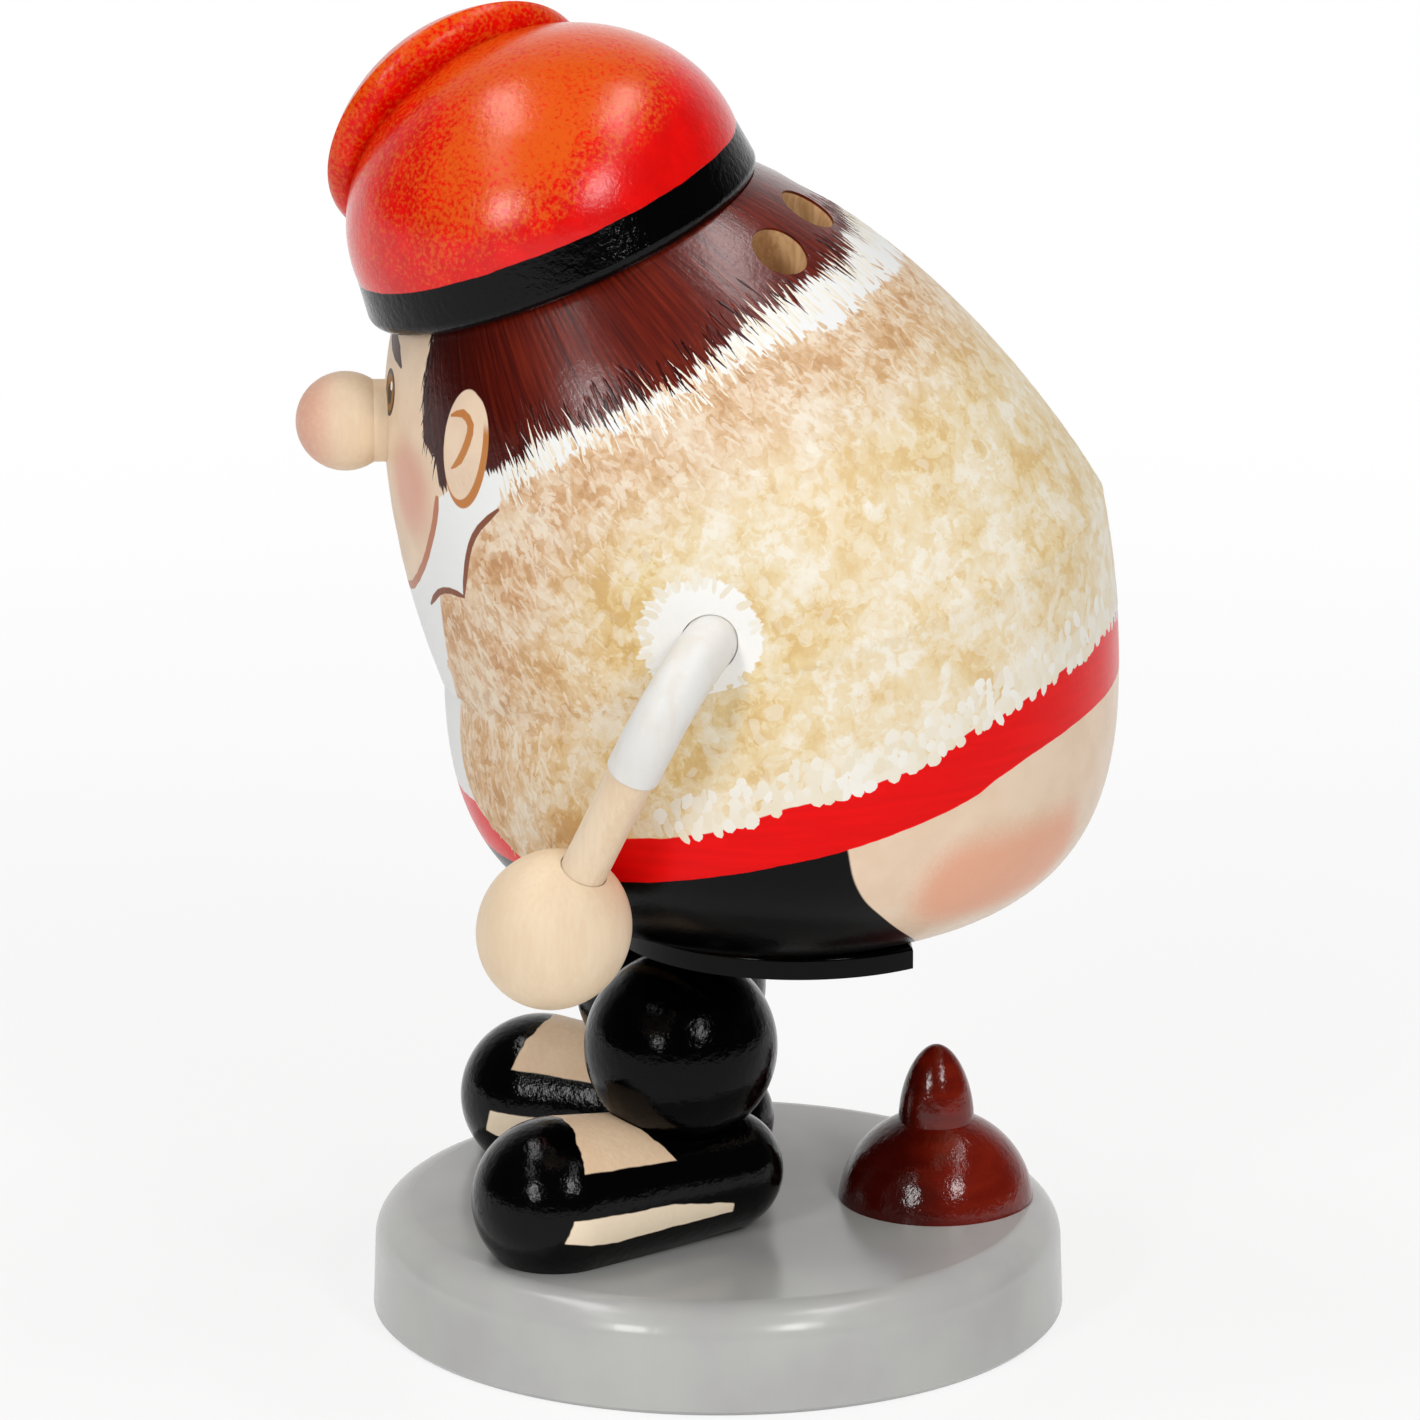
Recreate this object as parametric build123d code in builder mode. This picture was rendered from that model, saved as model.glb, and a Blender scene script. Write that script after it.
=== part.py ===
"""German incense smoker: a squatting turned-wood figure that lifts off its stand.

Millimetres, +Z up.  The origin is the centre of the base plate's underside.  The figure faces -Y,
so its left side is +X.  The stand is the base, shoes, legs and seat disc.  The figure is the hollow
body with its cap, nose, arms and hands, and it lifts straight up off the spigot of the seat disc.
"""
import os
from math import asin, cos, degrees, radians, sin

from build123d import *

os.makedirs("parts", exist_ok=True)

# Arcs of a turned outline
quarter_turn = 90.0
half_turn = 180.0

# Fits shared by all pieces
dowel_clearance = 0.1
spigot_clearance = 0.3
drill_overrun = 2.0

# Base plate
base_diameter = 75.0
base_top_diameter = 74.2
base_height = 11.6
base_edge_round = 3.9
base_foot_chamfer = 0.5

# Shoes, each a tapered egg lying on the base with its sole cut flat
shoe_toe_radius = 8.9
shoe_heel_radius = 6.7
shoe_toe_reach = 15.5
shoe_heel_setback = 5.0
shoe_axis_height = 6.4
shoe_toe_out_angle = 26.5

# Legs, each a ball on a dowel that runs from the base to the seat disc
leg_spacing = 22.0
leg_y = -4.6
leg_ball_diameter = 20.8
leg_ball_sink = 2.9
leg_ball_flat = 0.3
leg_dowel_diameter = 4.0
leg_dowel_depth = 7.0

# Seat disc with its spigot and draught holes
body_axis_y = 6.8
disc_diameter = 40.6
disc_thickness = 2.6
disc_setback = 1.7
disc_back_cut = 11.4
disc_edge_round = 0.7
spigot_diameter = 25.6
spigot_height = 4.0
draught_hole_diameter = 3.4
draught_hole_angle = 70.0

# Incense plate and its tack
plate_diameter = 17.0
plate_thickness = 0.5
plate_rim_height = 1.6
tack_head_diameter = 3.6
tack_head_height = 0.7
tack_shank_diameter = 1.4
tack_shank_length = 5.5

# Belly bowl, turned about an upright axis
bowl_diameter = 72.3
bowl_foot_diameter = 40.0
bowl_foot_slope_angle = 16.5
bowl_foot_pull = 13.0
bowl_belly_pull = 13.8
bowl_belly_height = 25.9
bowl_side_curve = 106.0
bowl_side_arc_angle = 25.0
bowl_wall = 7.0
bowl_floor = 4.6

# Upper body, turned about an axis that leans forward, and joined on an oblique seam
seam_height = 9.7
body_lean_angle = 31.5
upper_set_forward = 2.0
upper_overhang = 0.15
upper_belly_drop = 10.0
upper_reach = 64.1
cavity_reach = 42.0
body_dowel_diameter = 3.0
body_dowel_length = 10.0
body_dowel_angle = 15.0

# Openings of the smoke chamber
mouth_up_angle = 34.0
mouth_diameter = 5.5
vent_up_angle = 43.2
vent_diameter = 6.4
vent_count = 4
vent_pitch_angle = 23.0

# Cap and its flopped tip
cap_seat_reach = 42.9
cap_set_back = 1.7
cap_tilt_angle = 22.5
cap_rim_diameter = 44.4
cap_band_top_diameter = 43.5
cap_band_height = 5.3
cap_rim_round = 1.4
cap_crown_height = 18.0
tip_diameter = 31.7
tip_height = 9.8
tip_foot_diameter = 27.0
tip_shoulder_height = 2.5
tip_seat_height = 12.4
tip_tilt_angle = 52.8
tip_turn_angle = 70.8
tip_slip_down = 1.7
tip_slip_left = 1.6
cap_dowel_diameter = 6.0
cap_dowel_length = 14.0

# Nose
nose_up_angle = 47.0
nose_diameter = 10.6
nose_stem_diameter = 8.8
nose_stand_off = 4.1
nose_stem_depth = 5.0

# Arms, bent dowels with a thicker painted sleeve, and the turned hands
shoulder_up_angle = 15.1
shoulder_round_angle = 98.0
arm_socket_depth = 5.0
elbow_out = 9.3
elbow_forward = 4.2
elbow_drop = 2.6
elbow_bend_radius = 8.0
cuff_from_elbow = 11.0
sleeve_diameter = 5.8
forearm_diameter = 5.0
cuff_round = 0.35
hand_stand_off = 5.7
hand_forward_angle = 38.0
hand_height = 7.5
hand_diameter = 16.2
hand_length = 17.6

# Heap on the base behind the figure
heap_y = 23.7
heap_diameter = 21.2
heap_dome_height = 8.8
heap_dome_sag = 1.4
heap_neck_diameter = 8.2
heap_height = 17.2
heap_peg_diameter = 4.0
heap_peg_depth = 5.0
heap_peg_reach = 5.0

# Upper body's width, so that both halves of the body stay flush at the sides
upper_diameter = bowl_diameter + 2 * upper_overhang

# Levels up the stand
leg_x = leg_spacing / 2
leg_ball_radius = leg_ball_diameter / 2
shoe_centres = shoe_toe_reach + shoe_heel_setback
shoe_taper = (shoe_toe_radius - shoe_heel_radius) / shoe_centres
shoe_top_at_leg = shoe_axis_height + shoe_heel_radius + shoe_taper * shoe_heel_setback
leg_ball_z = base_height + shoe_top_at_leg - leg_ball_sink + leg_ball_radius
disc_z = leg_ball_z + leg_ball_radius - leg_ball_flat
seat_z = disc_z + disc_thickness
plate_z = seat_z + spigot_height
belly_z = seat_z + bowl_belly_height


def forward_lean(angle):
    """Direction of an upright axis that leans towards the figure's front."""
    return Vector(0, -sin(radians(angle)), cos(radians(angle)))


def lathe_plane(centre, way=Vector(0, 0, 1)):
    """Plane of a turned outline: x is the radius and y runs up the turning axis."""
    across = way.cross(Vector(1, 0, 0)).normalized()
    return Plane(centre, x_dir=across, z_dir=across.cross(way))


def lathe_axis(plane):
    """Turning axis of a turned outline."""
    return Axis(plane.origin, plane.y_dir)


def square_plane(plane, height=0.0):
    """Plane square to a turning axis, at a height up that axis."""
    return Plane(plane.origin + plane.y_dir * height, x_dir=plane.z_dir, z_dir=plane.y_dir)


def save(piece, node):
    """Label a finished piece and write its STEP file."""
    piece.part.label = node
    export_step(piece.part, f"parts/{node}.step")


# Axes and planes of the body
bowl_lathe = lathe_plane((0, body_axis_y, seat_z))
seam_centre = Vector(0, body_axis_y - upper_set_forward, belly_z + seam_height)
seam_plane = square_plane(lathe_plane(seam_centre, forward_lean(body_lean_angle / 2)))
upper_lathe = lathe_plane(seam_centre, forward_lean(body_lean_angle))
cap_origin = seam_centre + upper_lathe.y_dir * cap_seat_reach + upper_lathe.x_dir * cap_set_back
cap_lathe = lathe_plane(cap_origin, forward_lean(cap_tilt_angle))
crown_centre = cap_origin + cap_lathe.y_dir * cap_band_height
flop_way = -cap_lathe.x_dir * cos(radians(tip_turn_angle)) - Vector(1, 0, 0) * sin(radians(tip_turn_angle))
tip_way = cap_lathe.y_dir * cos(radians(tip_tilt_angle)) + flop_way * sin(radians(tip_tilt_angle))
tip_flat = lathe_plane(crown_centre + tip_way * tip_seat_height, tip_way)
tip_slip = tip_flat.z_dir * tip_slip_left - tip_flat.x_dir * tip_slip_down
tip_lathe = lathe_plane(tip_flat.origin + tip_slip, tip_way)


def upper_point(latitude, longitude=half_turn):
    """Point on the upper body's skin; longitude 0 is the back, 90 the left side, 180 the face."""
    along = upper_reach * sin(radians(latitude)) - upper_belly_drop
    radius = upper_diameter / 2 * cos(radians(latitude))
    turn = radians(longitude)
    aside = upper_lathe.x_dir * (radius * cos(turn)) + Vector(radius * sin(turn), 0, 0)
    return upper_lathe.origin + upper_lathe.y_dir * along + aside


def upper_normal(latitude, longitude):
    """Outward direction square to the upper body's skin."""
    along = sin(radians(latitude)) / upper_reach
    radius = cos(radians(latitude)) / (upper_diameter / 2)
    turn = radians(longitude)
    aside = upper_lathe.x_dir * (radius * cos(turn)) + Vector(radius * sin(turn), 0, 0)
    return (upper_lathe.y_dir * along + aside).normalized()


# Base plate: a turned disc, drilled for the leg dowels and the heap's peg
with BuildPart() as base_plate:
    base_lathe = lathe_plane((0, 0, 0))
    with BuildSketch(base_lathe):
        with BuildLine():
            Polyline(
                (0, 0),
                (base_diameter / 2, 0),
                (base_top_diameter / 2, base_height),
                (0, base_height),
                close=True,
            )
        make_face()
    revolve(axis=lathe_axis(base_lathe))
    rims = base_plate.edges().filter_by(GeomType.CIRCLE).sort_by(Axis.Z)
    fillet(rims[-1], base_edge_round)
    foot_rim = base_plate.edges().filter_by(GeomType.CIRCLE).sort_by(Axis.Z)[0]
    chamfer(foot_rim, base_foot_chamfer)
    with Locations((leg_x, leg_y, base_height), (-leg_x, leg_y, base_height)):
        Hole(leg_dowel_diameter / 2 + dowel_clearance, leg_dowel_depth)
    with Locations((0, heap_y, base_height)):
        Hole(heap_peg_diameter / 2 + dowel_clearance, heap_peg_depth)
save(base_plate, "base_plate")

# Left leg ball: flat where it meets the seat disc, bored for its dowel
with BuildPart() as left_leg_ball:
    with Locations((leg_x, leg_y, leg_ball_z)):
        Sphere(leg_ball_radius)
    split(bisect_by=Plane.XY.offset(disc_z), keep=Keep.BOTTOM)
    with Locations((leg_x, leg_y, leg_ball_z)):
        Hole(leg_dowel_diameter / 2 + dowel_clearance)

# Left leg dowel: from the base plate, through shoe and ball, flush with the top of the seat disc
with BuildPart() as left_leg_dowel:
    dowel_foot = base_height - leg_dowel_depth + dowel_clearance
    with BuildSketch(Plane.XY.offset(dowel_foot)):
        with Locations((leg_x, leg_y)):
            Circle(leg_dowel_diameter / 2)
    extrude(amount=seat_z - dowel_clearance - dowel_foot)

# Left shoe: the egg's toe and heel are arcs joined by tangent lines, and the ball sits in a dish
with BuildPart() as left_shoe:
    toe_turn = radians(shoe_toe_out_angle)
    toe_way = Vector(sin(toe_turn), -cos(toe_turn), 0)
    heel_centre = Vector(leg_x, leg_y, base_height + shoe_axis_height) - toe_way * shoe_heel_setback
    shoe_outline = Plane(heel_centre, x_dir=toe_way, z_dir=(0, 0, 1))
    side_slope = degrees(asin((shoe_toe_radius - shoe_heel_radius) / shoe_centres))
    with BuildSketch(shoe_outline):
        with BuildLine():
            toe_sweep = quarter_turn + side_slope
            heel_sweep = quarter_turn - side_slope
            heel_arc = CenterArc((0, 0), shoe_heel_radius, toe_sweep, heel_sweep)
            toe_arc = CenterArc((shoe_centres, 0), shoe_toe_radius, 0, toe_sweep)
            Line(heel_arc @ 0, toe_arc @ 1)
            Line(toe_arc @ 0, heel_arc @ 1)
        make_face()
    revolve(axis=Axis(heel_centre, toe_way))
    split(bisect_by=Plane.XY.offset(base_height), keep=Keep.TOP)
    with Locations((leg_x, leg_y, leg_ball_z)):
        Sphere(leg_ball_radius + dowel_clearance, mode=Mode.SUBTRACT)
        Hole(leg_dowel_diameter / 2 + dowel_clearance)

# Seat disc: a round board with its back cut straight, and a spigot that the bowl drops over
with BuildPart() as trouser_disc:
    disc_y = body_axis_y + disc_setback
    with BuildSketch(Plane.XY.offset(disc_z)):
        with Locations((0, disc_y)):
            Circle(disc_diameter / 2)
            with Locations((0, disc_back_cut + disc_diameter / 2)):
                Rectangle(disc_diameter, disc_diameter, mode=Mode.SUBTRACT)
    extrude(amount=disc_thickness)
    fillet(trouser_disc.edges().group_by(Axis.Z)[-1], disc_edge_round)
    with BuildSketch(Plane.XY.offset(seat_z)):
        with Locations((0, body_axis_y)):
            Circle(spigot_diameter / 2)
    extrude(amount=spigot_height)
    draught_ring = (spigot_diameter + plate_diameter) / 4
    with Locations((0, body_axis_y, plate_z)):
        Hole(tack_shank_diameter / 2, tack_shank_length)
        first_hole = quarter_turn - draught_hole_angle / 2
        with PolarLocations(draught_ring, 2, first_hole, draught_hole_angle, endpoint=True):
            Hole(draught_hole_diameter / 2)
    with Locations((leg_x, leg_y, disc_z), (-leg_x, leg_y, disc_z)):
        Cylinder(
            leg_dowel_diameter / 2 + dowel_clearance,
            2 * disc_thickness,
            mode=Mode.SUBTRACT,
        )
save(trouser_disc, "trouser_disc")

# Incense plate: a pressed metal dish on top of the spigot
with BuildPart() as incense_plate:
    plate_lathe = lathe_plane((0, body_axis_y, plate_z))
    with BuildSketch(plate_lathe):
        with BuildLine():
            Polyline(
                (tack_shank_diameter / 2, 0),
                (plate_diameter / 2, 0),
                (plate_diameter / 2, plate_rim_height),
                (plate_diameter / 2 - plate_thickness, plate_rim_height),
                (plate_diameter / 2 - plate_thickness, plate_thickness),
                (tack_shank_diameter / 2, plate_thickness),
                close=True,
            )
        make_face()
    revolve(axis=lathe_axis(plate_lathe))
save(incense_plate, "incense_plate")

# Tack that holds the plate down in the middle of the spigot
with BuildPart() as plate_tack:
    with BuildSketch(Plane.XY.offset(plate_z + plate_thickness)):
        with Locations((0, body_axis_y)):
            Circle(tack_head_diameter / 2)
    extrude(amount=tack_head_height)
    fillet(plate_tack.edges().group_by(Axis.Z)[-1], tack_head_height / 2)
    with BuildSketch(Plane.XY.offset(plate_z + plate_thickness)):
        with Locations((0, body_axis_y)):
            Circle(tack_shank_diameter / 2)
    extrude(amount=plate_thickness - tack_shank_length)
save(plate_tack, "plate_tack")

# Heap: a low turned dome with a blunt nub on top
with BuildPart() as heap:
    heap_lathe = lathe_plane((0, heap_y, base_height))
    neck = (heap_neck_diameter / 2, heap_dome_height)
    nub_height = heap_height - heap_dome_height
    dome_bulge = (heap_diameter / 2 - heap_dome_sag, heap_dome_height / 2)
    with BuildSketch(heap_lathe):
        with BuildLine():
            Line((0, 0), (heap_diameter / 2, 0))
            ThreePointArc((heap_diameter / 2, 0), dome_bulge, neck)
            nub_side = (neck[0], heap_dome_height + nub_height / 2)
            Bezier(neck, nub_side, (neck[0] / 2, heap_height), (0, heap_height))
            Line((0, heap_height), (0, 0))
        make_face()
    revolve(axis=lathe_axis(heap_lathe))
    with Locations((0, heap_y, base_height)):
        Cylinder(
            heap_peg_diameter / 2 + dowel_clearance,
            2 * (heap_peg_reach + dowel_clearance),
            mode=Mode.SUBTRACT,
        )
save(heap, "heap")

# Peg that holds the heap on the base
with BuildPart() as heap_peg:
    with BuildSketch(Plane.XY.offset(base_height - heap_peg_depth + dowel_clearance)):
        with Locations((0, heap_y)):
            Circle(heap_peg_diameter / 2)
    extrude(amount=heap_peg_depth + heap_peg_reach - dowel_clearance)
save(heap_peg, "heap_peg")

# Points along the left arm
shoulder = upper_point(shoulder_up_angle, shoulder_round_angle)
elbow = shoulder + Vector(elbow_out, -elbow_forward, -elbow_drop)
hand_ring = bowl_diameter / 2 + hand_stand_off
hand_turn = radians(hand_forward_angle)
hand_x = hand_ring * cos(hand_turn)
hand_y = body_axis_y - hand_ring * sin(hand_turn)
hand_centre = Vector(hand_x, hand_y, seat_z + hand_height)
upper_arm_way = (elbow - shoulder).normalized()
forearm_way = (hand_centre - elbow).normalized()
arm_root = shoulder - upper_arm_way * arm_socket_depth
cuff = elbow + forearm_way * cuff_from_elbow

# Belly bowl: an upright hollow bowl with a flat foot, sawn off along the oblique seam
with BuildPart() as belly_bowl:
    bowl_radius = bowl_diameter / 2
    foot_radius = bowl_foot_diameter / 2
    foot_pull = (
        foot_radius + bowl_foot_pull * cos(radians(bowl_foot_slope_angle)),
        bowl_foot_pull * sin(radians(bowl_foot_slope_angle)),
    )
    top_height = bowl_belly_height + bowl_side_curve * sin(radians(bowl_side_arc_angle))
    with BuildSketch(bowl_lathe):
        with BuildLine():
            Line((0, 0), (foot_radius, 0))
            Bezier(
                (foot_radius, 0),
                foot_pull,
                (bowl_radius, bowl_belly_height - bowl_belly_pull),
                (bowl_radius, bowl_belly_height),
            )
            side_arc = CenterArc(
                (bowl_radius - bowl_side_curve, bowl_belly_height), bowl_side_curve, 0, bowl_side_arc_angle
            )
            Line(side_arc @ 1, (0, top_height))
            Line((0, top_height), (0, 0))
        make_face()
    revolve(axis=lathe_axis(bowl_lathe))
    split(bisect_by=seam_plane, keep=Keep.BOTTOM)
    with BuildSketch(bowl_lathe):
        with BuildLine():
            Line((0, bowl_floor), (0, top_height))
            Line((0, top_height), (bowl_radius - bowl_wall, top_height))
            Line((bowl_radius - bowl_wall, top_height), (bowl_radius - bowl_wall, bowl_belly_height))
            EllipticalCenterArc(
                (0, bowl_belly_height),
                bowl_radius - bowl_wall,
                bowl_belly_height - bowl_floor,
                start_angle=-quarter_turn,
                arc_size=quarter_turn,
            )
        make_face()
    revolve(axis=lathe_axis(bowl_lathe), mode=Mode.SUBTRACT)
    with BuildSketch(Plane.XY.offset(seat_z)):
        with Locations((0, body_axis_y)):
            Circle(spigot_diameter / 2 + spigot_clearance)
    extrude(amount=bowl_belly_height, mode=Mode.SUBTRACT)
    body_dowel_ring = bowl_radius - bowl_wall / 2
    body_dowel_span = half_turn - 2 * body_dowel_angle
    body_dowel_half = body_dowel_length / 2
    with BuildSketch(seam_plane.offset(-body_dowel_half - dowel_clearance)):
        with PolarLocations(body_dowel_ring, 2, body_dowel_angle, body_dowel_span, endpoint=True):
            Circle(body_dowel_diameter / 2 + dowel_clearance)
    extrude(amount=body_dowel_length, mode=Mode.SUBTRACT)
save(belly_bowl, "belly_bowl")

# Upper body: the leaning half, hollow, with mouth, vents and the sockets of cap, nose and arms
with BuildPart() as upper_body:
    upper_radius = upper_diameter / 2
    with BuildSketch(upper_lathe):
        with BuildLine():
            EllipticalCenterArc(
                (0, -upper_belly_drop),
                upper_radius,
                upper_reach,
                start_angle=-quarter_turn,
                arc_size=half_turn,
            )
            Line((0, upper_reach - upper_belly_drop), (0, -upper_reach - upper_belly_drop))
        make_face()
    revolve(axis=lathe_axis(upper_lathe))
    split(bisect_by=seam_plane, keep=Keep.TOP)
    split(bisect_by=square_plane(cap_lathe), keep=Keep.BOTTOM)
    with BuildSketch(upper_lathe):
        with BuildLine():
            EllipticalCenterArc(
                (0, -upper_belly_drop),
                upper_radius - bowl_wall,
                cavity_reach,
                start_angle=-quarter_turn,
                arc_size=half_turn,
            )
            Line((0, cavity_reach - upper_belly_drop), (0, -cavity_reach - upper_belly_drop))
        make_face()
    revolve(axis=lathe_axis(upper_lathe), mode=Mode.SUBTRACT)
    with BuildSketch(seam_plane.offset(-body_dowel_half)):
        with PolarLocations(body_dowel_ring, 2, body_dowel_angle, body_dowel_span, endpoint=True):
            Circle(body_dowel_diameter / 2 + dowel_clearance)
    extrude(amount=body_dowel_length + dowel_clearance, mode=Mode.SUBTRACT)
    with BuildSketch(square_plane(cap_lathe, -cap_dowel_length / 2 - dowel_clearance)):
        Circle(cap_dowel_diameter / 2 + dowel_clearance)
    extrude(amount=cap_dowel_length, mode=Mode.SUBTRACT)
    nose_root = upper_point(nose_up_angle)
    with BuildSketch(Plane(nose_root + Vector(0, nose_stem_depth + dowel_clearance, 0), z_dir=(0, -1, 0))):
        Circle(nose_stem_diameter / 2 + dowel_clearance)
    extrude(amount=nose_stem_depth + nose_diameter, mode=Mode.SUBTRACT)
    mouth_depth = upper_radius - bowl_wall
    with BuildSketch(Plane(upper_point(mouth_up_angle) + Vector(0, mouth_depth, 0), z_dir=(0, -1, 0))):
        Circle(mouth_diameter / 2)
    extrude(amount=mouth_depth + drill_overrun, mode=Mode.SUBTRACT)
    for vent in range(vent_count):
        vent_longitude = (vent - (vent_count - 1) / 2) * vent_pitch_angle
        vent_way = upper_normal(vent_up_angle, vent_longitude)
        vent_mouth = upper_point(vent_up_angle, vent_longitude)
        vent_depth = upper_radius * cos(radians(vent_up_angle))
        with BuildSketch(Plane(vent_mouth - vent_way * vent_depth, z_dir=vent_way)):
            Circle(vent_diameter / 2)
        extrude(amount=vent_depth + drill_overrun, mode=Mode.SUBTRACT)
    for side in (1, -1):
        socket = Vector(side * arm_root.X, arm_root.Y, arm_root.Z)
        socket_way = Vector(side * upper_arm_way.X, upper_arm_way.Y, upper_arm_way.Z)
        with BuildSketch(Plane(socket - socket_way * dowel_clearance, z_dir=socket_way)):
            Circle(sleeve_diameter / 2 + dowel_clearance)
        extrude(amount=arm_socket_depth + sleeve_diameter, mode=Mode.SUBTRACT)
save(upper_body, "upper_body")

# Two dowels that line up the halves of the body across the glued seam
with BuildPart() as body_dowels:
    with BuildSketch(seam_plane.offset(-body_dowel_half)):
        with PolarLocations(body_dowel_ring, 2, body_dowel_angle, body_dowel_span, endpoint=True):
            Circle(body_dowel_diameter / 2)
    extrude(amount=body_dowel_length)
save(body_dowels, "body_dowels")

# Cap: a rounded rim and band under a dome, with a flat seat for the flopped tip
with BuildPart() as cap:
    rim_radius = cap_rim_diameter / 2
    band_radius = cap_band_top_diameter / 2
    with BuildSketch(cap_lathe):
        with BuildLine():
            Line((0, 0), (rim_radius - cap_rim_round, 0))
            rim_arc_centre = (rim_radius - cap_rim_round, cap_rim_round)
            CenterArc(rim_arc_centre, cap_rim_round, -quarter_turn, quarter_turn)
            Line((rim_radius, cap_rim_round), (band_radius, cap_band_height))
            EllipticalCenterArc(
                (0, cap_band_height), band_radius, cap_crown_height, start_angle=0, arc_size=quarter_turn
            )
            Line((0, cap_band_height + cap_crown_height), (0, 0))
        make_face()
    revolve(axis=lathe_axis(cap_lathe))
    split(bisect_by=square_plane(tip_lathe), keep=Keep.BOTTOM)
    with BuildSketch(square_plane(cap_lathe)):
        Circle(cap_dowel_diameter / 2 + dowel_clearance)
    extrude(amount=cap_dowel_length / 2 + dowel_clearance, mode=Mode.SUBTRACT)
    tip_dowel_length = tip_height
    with BuildSketch(square_plane(tip_lathe, -tip_dowel_length / 2 - dowel_clearance)):
        Circle(cap_dowel_diameter / 2 + dowel_clearance)
    extrude(amount=tip_dowel_length, mode=Mode.SUBTRACT)
save(cap, "cap")

# Dowel between head and cap
with BuildPart() as cap_dowel:
    with BuildSketch(square_plane(cap_lathe, -cap_dowel_length / 2)):
        Circle(cap_dowel_diameter / 2)
    extrude(amount=cap_dowel_length)
save(cap_dowel, "cap_dowel")

# Cap tip: a bun with a tucked-in foot and a round dome, lying on the flat of the cap
with BuildPart() as cap_tip:
    tip_radius = tip_diameter / 2
    tip_rise = tip_height - tip_shoulder_height
    tip_dome_radius = (tip_radius**2 + tip_rise**2) / (2 * tip_rise)
    tip_foot_radius = tip_foot_diameter / 2
    shoulder_angle = degrees(asin((tip_dome_radius - tip_rise) / tip_dome_radius))
    with BuildSketch(tip_lathe):
        with BuildLine():
            Line((0, 0), (tip_foot_radius, 0))
            EllipticalCenterArc(
                (tip_foot_radius, tip_shoulder_height),
                tip_radius - tip_foot_radius,
                tip_shoulder_height,
                start_angle=-quarter_turn,
                arc_size=quarter_turn,
            )
            dome_sweep = quarter_turn - shoulder_angle
            CenterArc((0, tip_height - tip_dome_radius), tip_dome_radius, shoulder_angle, dome_sweep)
            Line((0, tip_height), (0, 0))
        make_face()
    revolve(axis=lathe_axis(tip_lathe))
    with BuildSketch(square_plane(tip_lathe)):
        Circle(cap_dowel_diameter / 2 + dowel_clearance)
    extrude(amount=tip_dowel_length / 2 + dowel_clearance, mode=Mode.SUBTRACT)
save(cap_tip, "cap_tip")

# Dowel between cap and tip
with BuildPart() as cap_tip_dowel:
    with BuildSketch(square_plane(tip_lathe, -tip_dowel_length / 2)):
        Circle(cap_dowel_diameter / 2)
    extrude(amount=tip_dowel_length)
save(cap_tip_dowel, "cap_tip_dowel")

# Nose: a turned ball on a stem that is let into the face
with BuildPart() as nose:
    nose_centre = nose_root - Vector(0, nose_stand_off, 0)
    with Locations(nose_centre):
        Sphere(nose_diameter / 2)
    with BuildSketch(Plane(nose_centre, z_dir=(0, 1, 0))):
        Circle(nose_stem_diameter / 2)
    extrude(amount=nose_stand_off + nose_stem_depth)
save(nose, "nose")

# Left arm: the sleeve bends at the elbow, and the bare forearm runs on into the hand
with BuildPart() as left_arm:
    with BuildLine() as sleeve_line:
        FilletPolyline(arm_root, elbow, cuff, radius=elbow_bend_radius)
    with BuildSketch(Plane(arm_root, z_dir=upper_arm_way)):
        Circle(sleeve_diameter / 2)
    sweep(path=sleeve_line.line)
    cuff_rim = left_arm.edges().filter_by(GeomType.CIRCLE).sort_by_distance(cuff)[0]
    fillet(cuff_rim, cuff_round)
    with BuildSketch(Plane(cuff, z_dir=forearm_way)):
        Circle(forearm_diameter / 2)
    extrude(amount=(hand_centre - cuff).length)

# Left hand: a turned bead, a little longer than wide, bored to its middle for the forearm
with BuildPart() as left_hand:
    hand_plane = Plane(hand_centre, x_dir=forearm_way, z_dir=forearm_way.cross(Vector(0, 0, 1)))
    with BuildSketch(hand_plane):
        with BuildLine():
            EllipticalCenterArc(
                (0, 0), hand_length / 2, hand_diameter / 2, start_angle=0, arc_size=half_turn
            )
            Line((-hand_length / 2, 0), (hand_length / 2, 0))
        make_face()
    revolve(axis=Axis(hand_centre, forearm_way))
    with BuildSketch(Plane(hand_centre + forearm_way * dowel_clearance, z_dir=-forearm_way)):
        Circle(forearm_diameter / 2 + dowel_clearance)
    extrude(amount=hand_length, mode=Mode.SUBTRACT)

# Pieces that come in pairs, the right one mirrored from the left
pairs = {
    "shoe": left_shoe,
    "leg_ball": left_leg_ball,
    "leg_dowel": left_leg_dowel,
    "arm": left_arm,
    "hand": left_hand,
}
for node, left_piece in pairs.items():
    with BuildPart() as right_piece:
        mirror(left_piece.part, about=Plane.YZ)
    save(left_piece, f"left_{node}")
    save(right_piece, f"right_{node}")
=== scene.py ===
# %% [markdown]
# # Painting a turned incense smoker
# The real object is a small smoker, turned on a lathe from pale wood: a round base, shoes, ball
# legs, a hollow body in two halves that lifts off the stand, a cap with a floppy tip, and a nose.
# The packed model already holds every solid at its true size. What Blender adds is the painter's
# work, which is lacquer, hair, fur and a face, and the light of a photo table.
# The model is loaded as a fixed frame and never moved.

# %% Load the packed model
from functools import partialmethod
from math import cos, radians, sin

import bpy
import numpy as np
from mathutils import Matrix, Vector


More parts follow.
